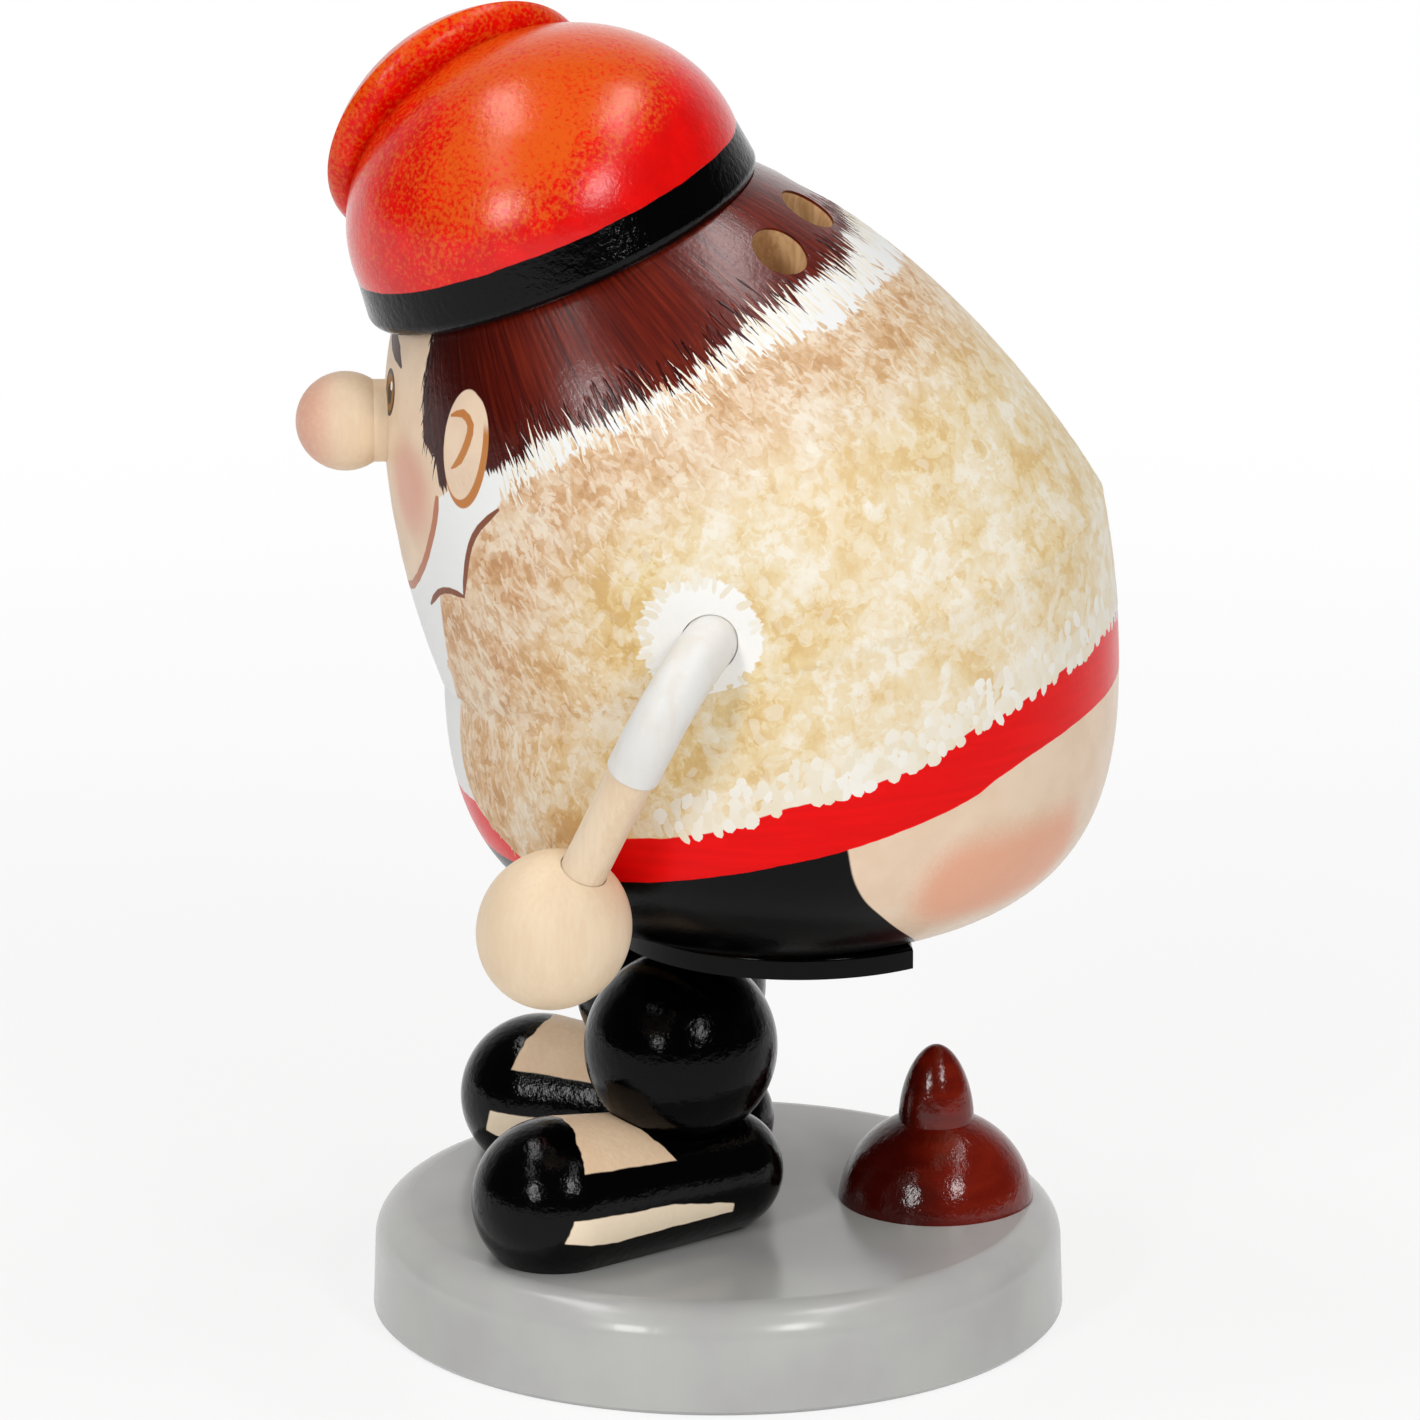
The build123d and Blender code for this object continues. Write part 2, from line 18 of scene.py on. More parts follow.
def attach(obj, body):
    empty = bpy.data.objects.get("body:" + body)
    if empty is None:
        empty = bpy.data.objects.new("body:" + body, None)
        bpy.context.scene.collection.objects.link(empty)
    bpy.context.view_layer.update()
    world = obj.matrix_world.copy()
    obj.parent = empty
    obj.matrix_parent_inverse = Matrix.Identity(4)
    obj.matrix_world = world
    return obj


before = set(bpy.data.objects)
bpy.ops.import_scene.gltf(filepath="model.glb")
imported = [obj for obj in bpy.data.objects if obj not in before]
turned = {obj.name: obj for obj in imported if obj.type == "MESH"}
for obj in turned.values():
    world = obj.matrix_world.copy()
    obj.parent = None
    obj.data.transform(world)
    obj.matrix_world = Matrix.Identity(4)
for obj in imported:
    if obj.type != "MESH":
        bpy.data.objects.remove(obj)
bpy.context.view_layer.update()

scene = bpy.context.scene

# %% [markdown]
# ## The camera
# The photograph looks at the figure's left side from a little above. A long lens far away keeps the
# round base nearly free of perspective. The camera could be turned by hand, but three measured
# directions (right, up and back) give the view at once, and the lamps below can use them too.

# %% Set the camera
photo_pixels, focal_pixels, sensor_width = 1420, 11187.9, 36
view_turn, view_rise, view_range = radians(87.0), radians(16.341), 1.2
right = Vector((cos(view_turn), sin(view_turn), 0))
back = Vector((sin(view_turn) * cos(view_rise), -cos(view_turn) * cos(view_rise), sin(view_rise)))
up = back.cross(right)
aim = right * -0.000881 + Vector((0, 0, 0.066907))


def stand(name, data, place, *axes):
    """Puts a camera or a lamp at a place, with its own x, y and z along three directions."""
    made = bpy.data.objects.new(name, data)
    made.matrix_world = Matrix.Translation(place) @ Matrix(axes).transposed().to_4x4()
    scene.collection.objects.link(made)
    return made


lens = bpy.data.cameras.new("photo_camera")
lens.sensor_width = sensor_width
lens.lens = sensor_width * focal_pixels / photo_pixels
scene.camera = stand("photo_camera", lens, aim + back * view_range, right, up, back)
print("camera lens %.1f mm at" % lens.lens, [round(v, 3) for v in scene.camera.location])

# %% [markdown]
# ## A bench for node trees
# Every finish below is a tree of nodes. Adding nodes one call at a time makes long code, so two
# small classes help. A Bench adds nodes to one tree. A Wire is the output of a node, and sums can be
# written with it: wire * 2 + other adds the two maths nodes, and one mask | another takes the greater
# of the two. Wires also know the words of the job: ease, mix, noise, ramp, curve. The same classes
# serve shader trees and Geometry Nodes.

# %% The wire
class Wire:
    """An output of a node. Each call here adds the next node and hands back that node's output."""

    def __init__(self, bench, socket):
        self.bench, self.socket = bench, socket

    def work(self, way, *others):
        """A maths node on this and on other values, of the vector kind if this is a vector."""
        on_vectors = self.socket.type == "VECTOR"
        return (self.bench.vector if on_vectors else self.bench.maths)(way, self, *others)

    __add__, __sub__ = partialmethod(work, "ADD"), partialmethod(work, "SUBTRACT")
    __mul__, __truediv__ = partialmethod(work, "MULTIPLY"), partialmethod(work, "DIVIDE")
    __or__, __abs__ = partialmethod(work, "MAXIMUM"), partialmethod(work, "ABSOLUTE")
    dot, length = partialmethod(work, "DOT_PRODUCT"), partialmethod(work, "LENGTH")

    def __rsub__(self, other):
        return self.bench.maths("SUBTRACT", other, self)

    def scaled(self, by):
        return self.bench.wire("ShaderNodeVectorMath", {0: self, "Scale": by}, operation="SCALE")

    def parts(self):
        return self.bench.wires("ShaderNodeSeparateXYZ", {0: self})

    def ease(self, low, high, start=0.0, end=1.0):
        """Goes smoothly from start to end while this goes from low to high."""
        feeds = {"Value": self, "From Min": low, "From Max": high, "To Min": start, "To Max": end}
        return self.bench.wire("ShaderNodeMapRange", feeds, "Result", interpolation_type="SMOOTHSTEP")

    def crisp(self, soft=0.05):
        """A mask with a narrow edge where this passes zero."""
        return self.ease(-soft, soft)

    def mix(self, under, over):
        """One colour over another, with this as the share of the upper one."""
        return self.bench.wire("ShaderNodeMix", {0: self, 6: under, 7: over}, 2, data_type="RGBA")

    def noise(self, scale, detail=2.0, roughness=0.5, output="Fac"):
        feeds = {"Vector": self, "Scale": scale, "Detail": detail, "Roughness": roughness}
        return self.bench.wire("ShaderNodeTexNoise", feeds, output)

    def ramp(self, places, *colours):
        made = self.bench.node("ShaderNodeValToRGB", {"Fac": self})
        stops = made.color_ramp.elements
        while len(stops) < len(places):
            stops.new(0.5)
        for stop, place, colour in zip(stops, places, colours):
            stop.position, stop.color = place, srgb(*colour)
        return Wire(self.bench, made.outputs["Color"])

    def curve(self, points, bend="VECTOR"):
        """Reads a measured edge: points are (value, edge) pairs in any units."""
        places, edges = zip(*points)
        low, high, least, most = places[0], places[-1], min(edges), max(edges)
        feeds = {"Value": self, "From Min": low, "From Max": high}
        share = self.bench.wire("ShaderNodeMapRange", feeds)
        made = self.bench.node("ShaderNodeFloatCurve", {"Value": share})
        line = made.mapping.curves[0]
        while len(line.points) < len(points):
            line.points.new(0.5, 0.5)
        for spot, place, edge in zip(line.points, places, edges):
            spot.location = (place - low) / (high - low), (edge - least) / (most - least)
            spot.handle_type = bend
        made.mapping.update()
        return Wire(self.bench, made.outputs[0]) * (most - least) + least


print("a wire can", ", ".join(word for word in vars(Wire) if word[0] != "_"))

# %% The bench and the shared effect
class Bench:
    """One node tree, and short calls that add a node to it."""

    def __init__(self, tree):
        self.tree = tree

    def feed(self, socket, value):
        if isinstance(value, Wire):
            self.tree.links.new(value.socket, socket)
        else:
            socket.default_value = tuple(value) if isinstance(value, Vector) else value

    def node(self, kind, feeds=None, **settings):
        made = self.tree.nodes.new(kind)
        for name, value in settings.items():
            setattr(made, name, value)
        for socket, value in (feeds or {}).items():
            self.feed(made.inputs[socket], value)
        return made

    def wire(self, kind, feeds=None, output=0, **settings):
        return Wire(self, self.node(kind, feeds, **settings).outputs[output])

    def wires(self, kind, feeds=None, **settings):
        return [Wire(self, socket) for socket in self.node(kind, feeds, **settings).outputs]

    def maths(self, way, *values, clamp=False):
        return self.wire("ShaderNodeMath", dict(enumerate(values)), operation=way, use_clamp=clamp)

    def vector(self, way, *values):
        output = "Value" if way in {"DOT_PRODUCT", "LENGTH", "DISTANCE"} else "Vector"
        return self.wire("ShaderNodeVectorMath", dict(enumerate(values)), output, operation=way)

    def angle(self, across, along):
        return self.maths("DEGREES", self.maths("ARCTAN2", across, along))

    def join(self, x, y, z):
        return self.wire("ShaderNodeCombineXYZ", {0: x, 1: y, 2: z})

    def group(self, name, **feeds):
        named = {label.replace("_", " "): value for label, value in feeds.items()}
        return self.wires("ShaderNodeGroup", named, node_tree=bpy.data.node_groups[name])


class Effect(Bench):
    """A shader group: wires to take from, and named outputs to give to."""

    def __init__(self, name, takes, gives):
        super().__init__(bpy.data.node_groups.new(name, "ShaderNodeTree"))
        for in_out, sockets in (("INPUT", takes), ("OUTPUT", gives)):
            for label, kind in sockets.items():
                self.tree.interface.new_socket(
                    label.replace("_", " "), in_out=in_out, socket_type="NodeSocket" + kind)
        self.takes = self.wires("NodeGroupInput")[:len(takes)]
        self.exit = self.node("NodeGroupOutput")

    def give(self, **values):
        for label, value in values.items():
            self.feed(self.exit.inputs[label], value)
        print("shared effect", self.tree.name, "gives", ", ".join(values))


def srgb(red, green, blue):
    """A colour as a paint chart gives it, 0 to 255, in Blender's linear values."""
    chart = [v / 255 for v in (red, green, blue)]
    return tuple(v / 12.92 if v <= 0.04045 else ((v + 0.055) / 1.055) ** 2.4 for v in chart) + (1.0,)


print("bench ready; mid grey on a chart is", round(srgb(188, 188, 188)[0], 3), "in linear light")

# %% [markdown]
# ## Light and floor
# The photograph was lit by softboxes, and the object says where they stood: every ball carries a
# pair of small window-shaped lights low on its front, and the cap a second pair near its top. Four
# lamps stand where those reflections say, a dim strip joins each pair, and a faint even surround
# fills the shadows. The backdrop is white to the camera and in reflections, and the room behind the
# camera is dark, as a studio is, so black lacquer stays black with a slim pale rim. The white adds
# no light of its own, and the floor keeps part of its own shading, so the figure's soft shadow
# stays on it.

# %% Hang the softboxes
light_middle, light_reach = Vector((0, 0, 0.075)), 0.85
low_box, high_box, strip = (0.13, 0.28, 1.8), (0.14, 0.46, 1.5), (0.08, 0.50, 0.5)
total_watts = 0
for name, direction, (width, height, watts) in (
        ("low_box_front_side", (-0.47, 0.13, 0.87), low_box),
        ("low_box_back_side", (0.40, 0.27, 0.87), low_box),
        ("high_box_front_side", (-0.40, 0.90, 0.17), high_box),
        ("high_box_back_side", (0.37, 0.90, 0.21), high_box),
        ("joining_strip_front_side", (-0.48, 0.62, 0.55), strip),
        ("joining_strip_back_side", (0.43, 0.66, 0.56), strip)):
    across, above, toward = direction
    way = (right * across + up * above + back * toward).normalized()
    tall = way.cross(right).normalized()
    lamp = bpy.data.lights.new(name, "AREA")
    lamp.shape, lamp.size, lamp.size_y, lamp.energy = "RECTANGLE", width, height, watts
    stand(name, lamp, light_middle + way * light_reach, tall.cross(way), tall, way)
    total_watts += watts
print("hung", len(bpy.data.lights), "lamps,", round(total_watts, 1), "watts in all")

# %% White surround and floor
fill_level, dark_room = 0.26, 0.05
paper_white, sheet_size, shadow_share = 0.9, 3.0, 0.78


def ray_kinds(bench):
    """Two masks: rays from the camera or through glass, and rays that were reflected."""
    camera_ray, glass_ray, glossy_ray = (
        bench.wire("ShaderNodeLightPath", output="Is %s Ray" % kind)
        for kind in ("Camera", "Transmission", "Glossy"))
    return camera_ray | glass_ray, glossy_ray


scene.view_settings.view_transform = "Standard"
scene.world = bpy.data.worlds.new("photo_tent")
scene.world.use_nodes = True
tent = Bench(scene.world.node_tree)
tent.tree.nodes.clear()
seen, reflected = ray_kinds(tent)
level = seen * (1 - fill_level) + fill_level
toward_paper = tent.wire("ShaderNodeTexCoord", output="Generated").dot(-back)
level = reflected * (toward_paper.ease(0.2, 1.0, dark_room, 1.0) - level) + level
sky = tent.wire("ShaderNodeBackground", {"Color": (1, 1, 1, 1), "Strength": level})
tent.node("ShaderNodeOutputWorld", {"Surface": sky})

floor_mesh = bpy.data.meshes.new("paper_floor")
corners = [(x * sheet_size, y * sheet_size, 0.0) for x, y in ((-1, -1), (1, -1), (1, 1), (-1, 1))]
floor_mesh.from_pydata(corners, [], [(0, 1, 2, 3)])
floor = bpy.data.objects.new("paper_floor", floor_mesh)
scene.collection.objects.link(floor)
paper = bpy.data.materials.new("white_paper")
paper.use_nodes = True
sheet = Bench(paper.node_tree)
sheet.tree.nodes.clear()
seen, reflected = ray_kinds(sheet)
distance = sheet.wire("ShaderNodeTexCoord", output="Object").length()
matt = sheet.wire("ShaderNodeBsdfDiffuse", {"Color": (paper_white, paper_white, paper_white, 1)})
glow = sheet.wire("ShaderNodeEmission", {"Color": (1, 1, 1, 1), "Strength": 1.0})
share = (seen | reflected) * distance.ease(0.08, 0.40, shadow_share, 1.0)
blend = sheet.wire("ShaderNodeMixShader", {0: share, 1: matt, 2: glow})
sheet.node("ShaderNodeOutputMaterial", {"Surface": blend})
floor.data.materials.append(paper)
print("floor sheet", 2 * sheet_size, "m wide")

# %% [markdown]
# ## Effects that many finishes share
# Most pieces wear the same hand-brushed lacquer, so its unevenness is made once, as a group. All
# groups work in millimetres on Object coordinates, because the model stands where it was packed
# and a pattern then keeps its real size. "Mirrored" folds the right side onto the left: the painter
# dressed both sides alike, and one measured side is enough.

# %% Millimetres and lacquer
effect = Effect("millimetres", dict(Vector="Vector"), dict(Point="Vector", Mirrored="Vector"))
point = effect.takes[0].scaled(1000.0)
x, y, z = point.parts()
effect.give(Point=point, Mirrored=effect.join(abs(x), y, z))

effect = Effect("lacquer_skin", dict(Point="Vector", Roughness="Float", Spread="Float"),
                dict(Roughness="Float", Height="Float"))
point, roughness, spread = effect.takes
flow, nap = point.noise(0.16), point.noise(1.2, 3.0, 0.6)
uneven = flow * 0.6 + nap * 0.4 - 0.5
effect.give(Roughness=effect.maths("MULTIPLY_ADD", uneven, spread, roughness, clamp=True),
            Height=flow * 1.3 + nap * 0.75)

# %% Grain of the turned wood
effect = Effect("wood_grain", dict(Point="Vector", Pale="Color", Dark="Color"),
                dict(Color="Color", Height="Float"))
point, pale, dark = effect.takes
fibre = (point * (1.0, 1.0, 0.09)).noise(1.9, 4.0, 0.62)
year = (point * (0.30, 0.30, 0.02)).noise(1.0, 1.0)
effect.give(Color=(fibre * 0.6 + year * 0.4).ease(0.36, 0.66).mix(dark, pale), Height=fibre)

# %% Brush strokes and ovals as masks
effect = Effect("paint_stroke", dict(Point="Vector", From="Vector", To="Vector",
                                     From_Half="Float", To_Half="Float"), dict(Depth="Float"))
point, start, end, start_half, end_half = effect.takes
run, gone = end - start, point - start
along = effect.maths("DIVIDE", gone.dot(run), run.dot(run), clamp=True)
half = effect.maths("MULTIPLY_ADD", along, end_half - start_half, start_half)
effect.give(Depth=half - effect.vector("DISTANCE", gone, run.scaled(along)))

effect = Effect("paint_oval", dict(Point="Vector", Centre="Vector", Long_Way="Vector",
                                   Wide_Way="Vector", Half="Float"), dict(Depth="Float"))
point, centre, long_way, wide_way, half = effect.takes
gone = point - centre
spread = effect.join(gone.dot(long_way), gone.dot(wide_way), 0.0)
effect.give(Depth=(1.0 - spread.length()) * half)

# %% [markdown]
# ## Plain finishes
# A finish starts with a Principled shader, a point in millimetres, and the lacquer's roughness and
# bump. Plain colours still vary a little, as brushed paint does: thin where the brush left the wood,
# darker where it pooled. Black lacquer gets a low specular level, so that only the lamps show in it.

# %% Start of every finish
class Finish(Bench):
    """A material with its Principled shader, its point in millimetres and its lacquer."""

    def __init__(self, name):
        self.material = bpy.data.materials.new(name)
        self.material.use_nodes = True
        super().__init__(self.material.node_tree)
        self.shader = self.tree.nodes["Principled BSDF"]
        place = self.wire("ShaderNodeTexCoord", output="Object")
        self.point, self.mirrored = self.group("millimetres", Vector=place)

    def set(self, **values):
        for label, value in values.items():
            self.feed(self.shader.inputs[label.replace("_", " ")], value)

    def wood(self, pale, dark):
        """The colour and the relief of grain between two shades."""
        return self.group("wood_grain", Point=self.point, Pale=srgb(*pale), Dark=srgb(*dark))

    def attribute(self, name):
        return self.wire("ShaderNodeAttribute", output="Fac", attribute_name=name)

    def bump(self, height, depth):
        feeds = {"Height": height, "Distance": depth / 1000, "Strength": 1.0}
        self.set(Normal=self.wire("ShaderNodeBump", feeds))

    def lacquer(self, roughness, spread, depth, relief=None, relief_share=1.0):
        """Uneven gloss, and a bump of depth millimetres from the lacquer and an own relief."""
        rough, height = self.group("lacquer_skin", Point=self.point, Roughness=roughness, Spread=spread)
        self.set(Roughness=rough)
        self.bump(height if relief is None else relief * relief_share + height, depth)

    def tell(self, layers):
        print(self.material.name, "so far:", layers, "in", len(self.tree.nodes), "nodes")

    def wear(self, *names):
        """Puts the finish on CAD pieces in place of their plain colour."""
        for name in names:
            data = turned[name].data
            for spot in range(len(data.materials)):
                data.materials[spot] = self.material
            if not data.materials:
                data.materials.append(self.material)
        print(self.material.name, "on", ", ".join(names))


black_paint = srgb(2, 2, 3)

# %% Grey base
side_start, side_full, base_radius = 35.0, 37.0, 37.0
grey = Finish("grey_base_paint")
x, y, z = grey.point.parts()
ring = grey.join(x, y, 0.0).length()
arc = grey.maths("ARCTAN2", y, x) * base_radius
streak = grey.join(arc, z * 0.1, 0.0).noise(1.1) * ring.ease(side_start, side_full)
colour = grey.point.noise(0.07, 3.0).ease(0.3, 0.7).mix(srgb(182, 181, 181), srgb(191, 192, 188))
edge = ring.ease(35.6, 36.6) * z.ease(9.6, 10.8)
worn = edge * grey.point.noise(0.5, 3.0).ease(0.45, 0.75)
colour = (worn * 0.18).mix(colour, srgb(206, 203, 196))
rough, _ = grey.group("lacquer_skin", Point=grey.point, Roughness=0.22, Spread=0.16)
grey.set(Base_Color=colour, Specular_IOR_Level=0.45, Roughness=rough)
grey.bump(streak, 0.03)
grey.wear("base_plate")

# %% Black lacquer
black = Finish("black_lacquer")
dust = black.point.noise(0.6, 4.0).ease(0.5, 0.8)
black.set(Base_Color=dust.mix(srgb(1, 1, 2), srgb(5, 5, 7)), Specular_IOR_Level=0.12)
black.lacquer(0.11, 0.05, 0.09)
black.wear("left_leg_ball", "right_leg_ball")

# %% Bare wood, for dowels and pegs
bare = Finish("bare_wood")
colour, fibre = bare.wood((226, 196, 156), (190, 148, 104))
bare.set(Base_Color=colour, Specular_IOR_Level=0.3)
bare.lacquer(0.62, 0.2, 0.03, fibre, 1.2)
bare.wear("left_leg_dowel", "right_leg_dowel", "heap_peg", "body_dowels", "cap_dowel", "cap_tip_dowel")

# %% Seat disc: black outside, bare wood on the spigot that enters the body
paint_end = 45.5
disc = Finish("seat_disc_paint")
colour, fibre = disc.wood((214, 180, 138), (170, 128, 88))
bare_top = disc.point.parts()[2].ease(paint_end, paint_end + 0.1)
disc.set(Base_Color=bare_top.mix(black_paint, colour), Specular_IOR_Level=0.12)
disc.lacquer(bare_top * 0.47 + 0.13, 0.10, 0.035, fibre, 0.2)
disc.wear("trouser_disc")

# %% Pressed metal plate and its tack, with a bloom of soot
bowl_axis_y = 6.8
for name, piece, clean, sooty in (
        ("sooty_plate_metal", "incense_plate", srgb(196, 190, 176), srgb(88, 76, 62)),
        ("tack_metal", "plate_tack", srgb(206, 176, 112), srgb(120, 96, 60))):
    metal = Finish(name)
    x, y, z = metal.point.parts()
    ring = metal.join(x, y - bowl_axis_y, 0.0).length()
    soot = metal.point.noise(0.5, 4.0) + ring.ease(8.0, 1.0, 0.0, 0.35)
    metal.set(Base_Color=soot.ease(0.45, 0.85).mix(clean, sooty), Metallic=0.92)
    metal.lacquer(0.36, 0.30, 0.03, metal.join(ring, z, 0.0).noise(4.0), 0.6)
    metal.wear(piece)

# %% Brown heap
heap = Finish("brown_heap_paint")
streak = (heap.point * (0.25, 0.25, 0.8)).noise(1.0, 3.0)
colour = streak.ease(0.30, 0.72).mix(srgb(110, 20, 7), srgb(122, 27, 9))
# Painted shadow: the heap's side towards the figure, where the figure's shadow falls, is painted
# darker, nearly black.
shade = (heap.point.parts()[1] + streak * 3.0).ease(27.5, 21.0, 0.0, 0.8)
heap.set(Base_Color=shade.mix(colour, srgb(34, 4, 3)), Specular_IOR_Level=0.4)
heap.lacquer(0.13, 0.06, 0.10)
heap.wear("heap")

# %% [markdown]
# ## Skin-coloured wood: hands, nose and forearms
# The hands and nose are beads of pale wood with a thin skin-coloured stain, so a little grain shows
# through. The nose has a soft pink bloom at its tip. The arms are one bent dowel each, and the white
# sleeve ends where the thicker part does, which is a plane across the forearm.

# %% Hands and nose
nose_bloom_start, nose_bloom_full = -39.2, -44.2
bead = Finish("skin_stain")
colour, fibre = bead.wood((242, 219, 188), (237, 211, 178))
bloom = bead.point.parts()[1].ease(nose_bloom_start, nose_bloom_full) * 0.85
bloom = bloom * bead.point.noise(1.8, 3.0).ease(0.2, 0.6, 0.7, 1.0)
bead.set(Base_Color=bloom.mix(colour, srgb(226, 164, 142)), Specular_IOR_Level=0.35)
bead.lacquer(0.44, 0.12, 0.03, fibre, 0.25)
bead.wear("left_hand", "right_hand", "nose")

# %% Arms
cuff_place = (40.2, -11.6, 72.3)
forearm_way = Vector((-10.8, -11.06, -29.1)).normalized()
arm = Finish("sleeve_and_forearm")
colour, fibre = arm.wood((241, 219, 190), (233, 206, 174))
past = (arm.mirrored - cuff_place).dot(forearm_way)
ragged = arm.point.noise(0.8, 3.0) * 0.9 - 0.45
bare_arm = (past + ragged).crisp(0.15)
cream = (arm.point * (0.5, 0.5, 0.16)).noise(1.0, 4.0)
sleeve = cream.ease(0.42, 0.72).mix(srgb(233, 231, 227), srgb(228, 223, 214))
arm.set(Base_Color=bare_arm.mix(sleeve, colour), Specular_IOR_Level=0.4)
arm.lacquer(0.42, 0.14, 0.05, cream, 0.8)
arm.wear("left_arm", "right_arm")

# %% [markdown]
# ## Cap
# The cap and its floppy tip are red, with orange dabbed over the red by a sponge: dense on the round
# tops, thinning to clean red near the band and in the groove between the two. The lower rim is a
# black band. The sponge's speckle is fine noise held against a soft mask, so it breaks up by itself.

# %% Cap and cap tip
cap_foot, cap_way, band_height = (0, -16.17, 118.50), (0.0, -0.3827, 0.9239), 5.05
tip_place, tip_way = (-9.8, -27.1, 129.7), (-0.752, -0.474, 0.458)
cap_red, cap_deep, cap_orange = srgb(234, 5, 2), srgb(220, 3, 1), srgb(228, 92, 18)


def sponged(finish, density):
    """Orange mottle over red, as dense as the mask says, with a few dark specks from the sponge."""
    point = finish.point
    grain, patch = point.noise(2.0, 3.0, 0.6), point.noise(0.16)
    mottle = grain * 4.6 + patch * 1.4 + density * 1.3 - 3.65
    amount = mottle.ease(-0.6, 0.75) * density.ease(0.0, 0.2)
    ground = point.noise(0.3).ease(0.35, 0.65).mix(cap_deep, cap_red)
    colour = (amount * 0.9).mix(ground, cap_orange)
    speck = point.noise(2.3).ease(0.62, 0.72, 0.0, 0.25)
    return (speck * density).mix(colour, srgb(128, 22, 8)), grain


cap = Finish("sponged_cap_paint")
gone = cap.point - cap_foot
rise, side = gone.dot(cap_way), gone.parts()[1]
density = (rise - side * 0.32).ease(6.5, 16.0) * side.ease(-21.0, -5.0, 0.22, 1.0)
colour, grain = sponged(cap, density)
band_top = cap.point.noise(0.25) * 0.5 + band_height
band = (band_top - rise).crisp(0.06)
cap.set(Base_Color=band.mix(colour, black_paint), Specular_IOR_Level=0.18,
        Coat_Weight=0.4 - band * 0.4, Coat_Roughness=0.24)
cap.lacquer(0.17 - band * 0.06, 0.08, 0.11, grain - band * 0.5, 0.3)
cap.wear("cap")

tip = Finish("sponged_tip_paint")
colour, grain = sponged(tip, (tip.point - tip_place).dot(tip_way).ease(-4.0, 2.5))
tip.set(Base_Color=colour, Specular_IOR_Level=0.2)
tip.lacquer(0.2, 0.08, 0.11, grain, 0.3)
tip.wear("cap_tip")

# %% [markdown]
# ## Shoes
# Each shoe is a turned egg, lacquered black, with bare patches that show the foot: an open instep
# and a slit along each side. Measured along the egg and round its axis, the patches have straight
# edges, so two coordinates are worked out first and each patch is a few comparisons.

# %% Shoe coordinates and patches
shoe_turn = radians(26.5)
toe_way = Vector((sin(shoe_turn), -cos(shoe_turn), 0))
side_way = Vector((cos(shoe_turn), sin(shoe_turn), 0))
heel_place = Vector((11.0, -4.6, 18.0)) - toe_way * 5.0

shoe = Finish("open_shoe_paint")
gone = shoe.mirrored - heel_place
shake = shoe.point.noise(0.35) * 1.2 - 0.6
turn = shoe.angle(abs(gone.dot(side_way)), gone.parts()[2]) + shake * 2.0
length = gone.dot(toe_way) + shake
front_edge = turn.curve([(0, 19.4), (35, 20.2), (60, 21.0)])
rear_edge = turn.curve([(0, 12.9), (22, 11.9), (60, 8.9)])
instep = turn.ease(56.9, 55.7) * (front_edge - length).crisp(0.08) * (length - rear_edge).crisp(0.08)
slit_top = length.curve([(2.0, 104.0), (4.0, 99.0), (10.0, 90.5), (16.0, 89.0), (24.0, 87.0)])
slit_low = length.curve([(2.0, 112.0), (10.0, 110.0), (17.0, 110.6), (24.5, 104.5)])
slit_front = turn.curve([(86.0, 22.6), (104.0, 23.6), (112.0, 23.9)])
slit = ((turn - slit_top).crisp(0.6) * (slit_low - turn).crisp(0.6)
        * (slit_front - length).crisp(0.1) * length.ease(2.2, 2.5))
foot, _ = shoe.wood((240, 211, 178), (234, 202, 167))
# The slits show the bare foot in a lighter colour than the instep: the foot's own flesh, with painted
# light on these down-facing sides, which the lamps leave in shade.
foot = slit.mix(foot, srgb(255, 236, 208))
bare_foot = instep | slit
shoe.set(Base_Color=bare_foot.mix(black_paint, foot), Specular_IOR_Level=0.16)
shoe.lacquer(bare_foot * 0.25 + 0.12, 0.06, 0.09, bare_foot, -0.25)
shoe.wear("left_shoe", "right_shoe")

# %% [markdown]
# ## A map of the body
# Hair, collar and fur end along lines that run round the upper body. The upper body is an egg that
# leans forward, so a point on it is named as on a globe: "Around" is its longitude from the face,
# and "Up" its latitude. "Inset" says how far a point lies under the skin, which tells painted skin
# from the bare wood inside the smoke holes and the hollow.

# %% Body map group
lean_degrees = 31.5
lean = radians(lean_degrees)
body_up = Vector((0, -sin(lean), cos(lean)))
body_back = Vector((0, cos(lean), sin(lean)))
seam_middle = Vector((0, 4.8, 81.0366))
body_middle = seam_middle - body_up * 10.0
body_radius, body_reach, seat_height = 36.3, 64.1, 45.4366

effect = Effect("body_map", dict(Point="Vector"), dict(Around="Float", Up="Float", Inset="Float"))
gone = effect.takes[0] - body_middle
rise, rear = gone.dot(body_up / body_reach), gone.dot(body_back / body_radius)
beside = gone.parts()[0] / body_radius
full = effect.join(beside, rear, rise).length()
effect.give(Around=effect.angle(beside, rear * -1.0),
            Up=effect.maths("DEGREES", effect.maths("ARCSINE", rise / full)),
            Inset=(1.0 - full) * body_radius)
print("the body leans", lean_degrees, "degrees; its middle is at", [round(v, 1) for v in body_middle])

# %% [markdown]
# ## Fur ground and arm patch
# The vest is fur, painted with a small flat brush: cream dabs over a warm ground, golden round the
# arm, tan towards the front edge and the collar, and pale elsewhere. The ground below mixes soft
# noise, crisp blots and the random tones of bent cells, so it already reads as dabs. The raised dabs
# come later, as Geometry Nodes. Where the arm enters, the fur stops at a white patch with a rayed
# edge.

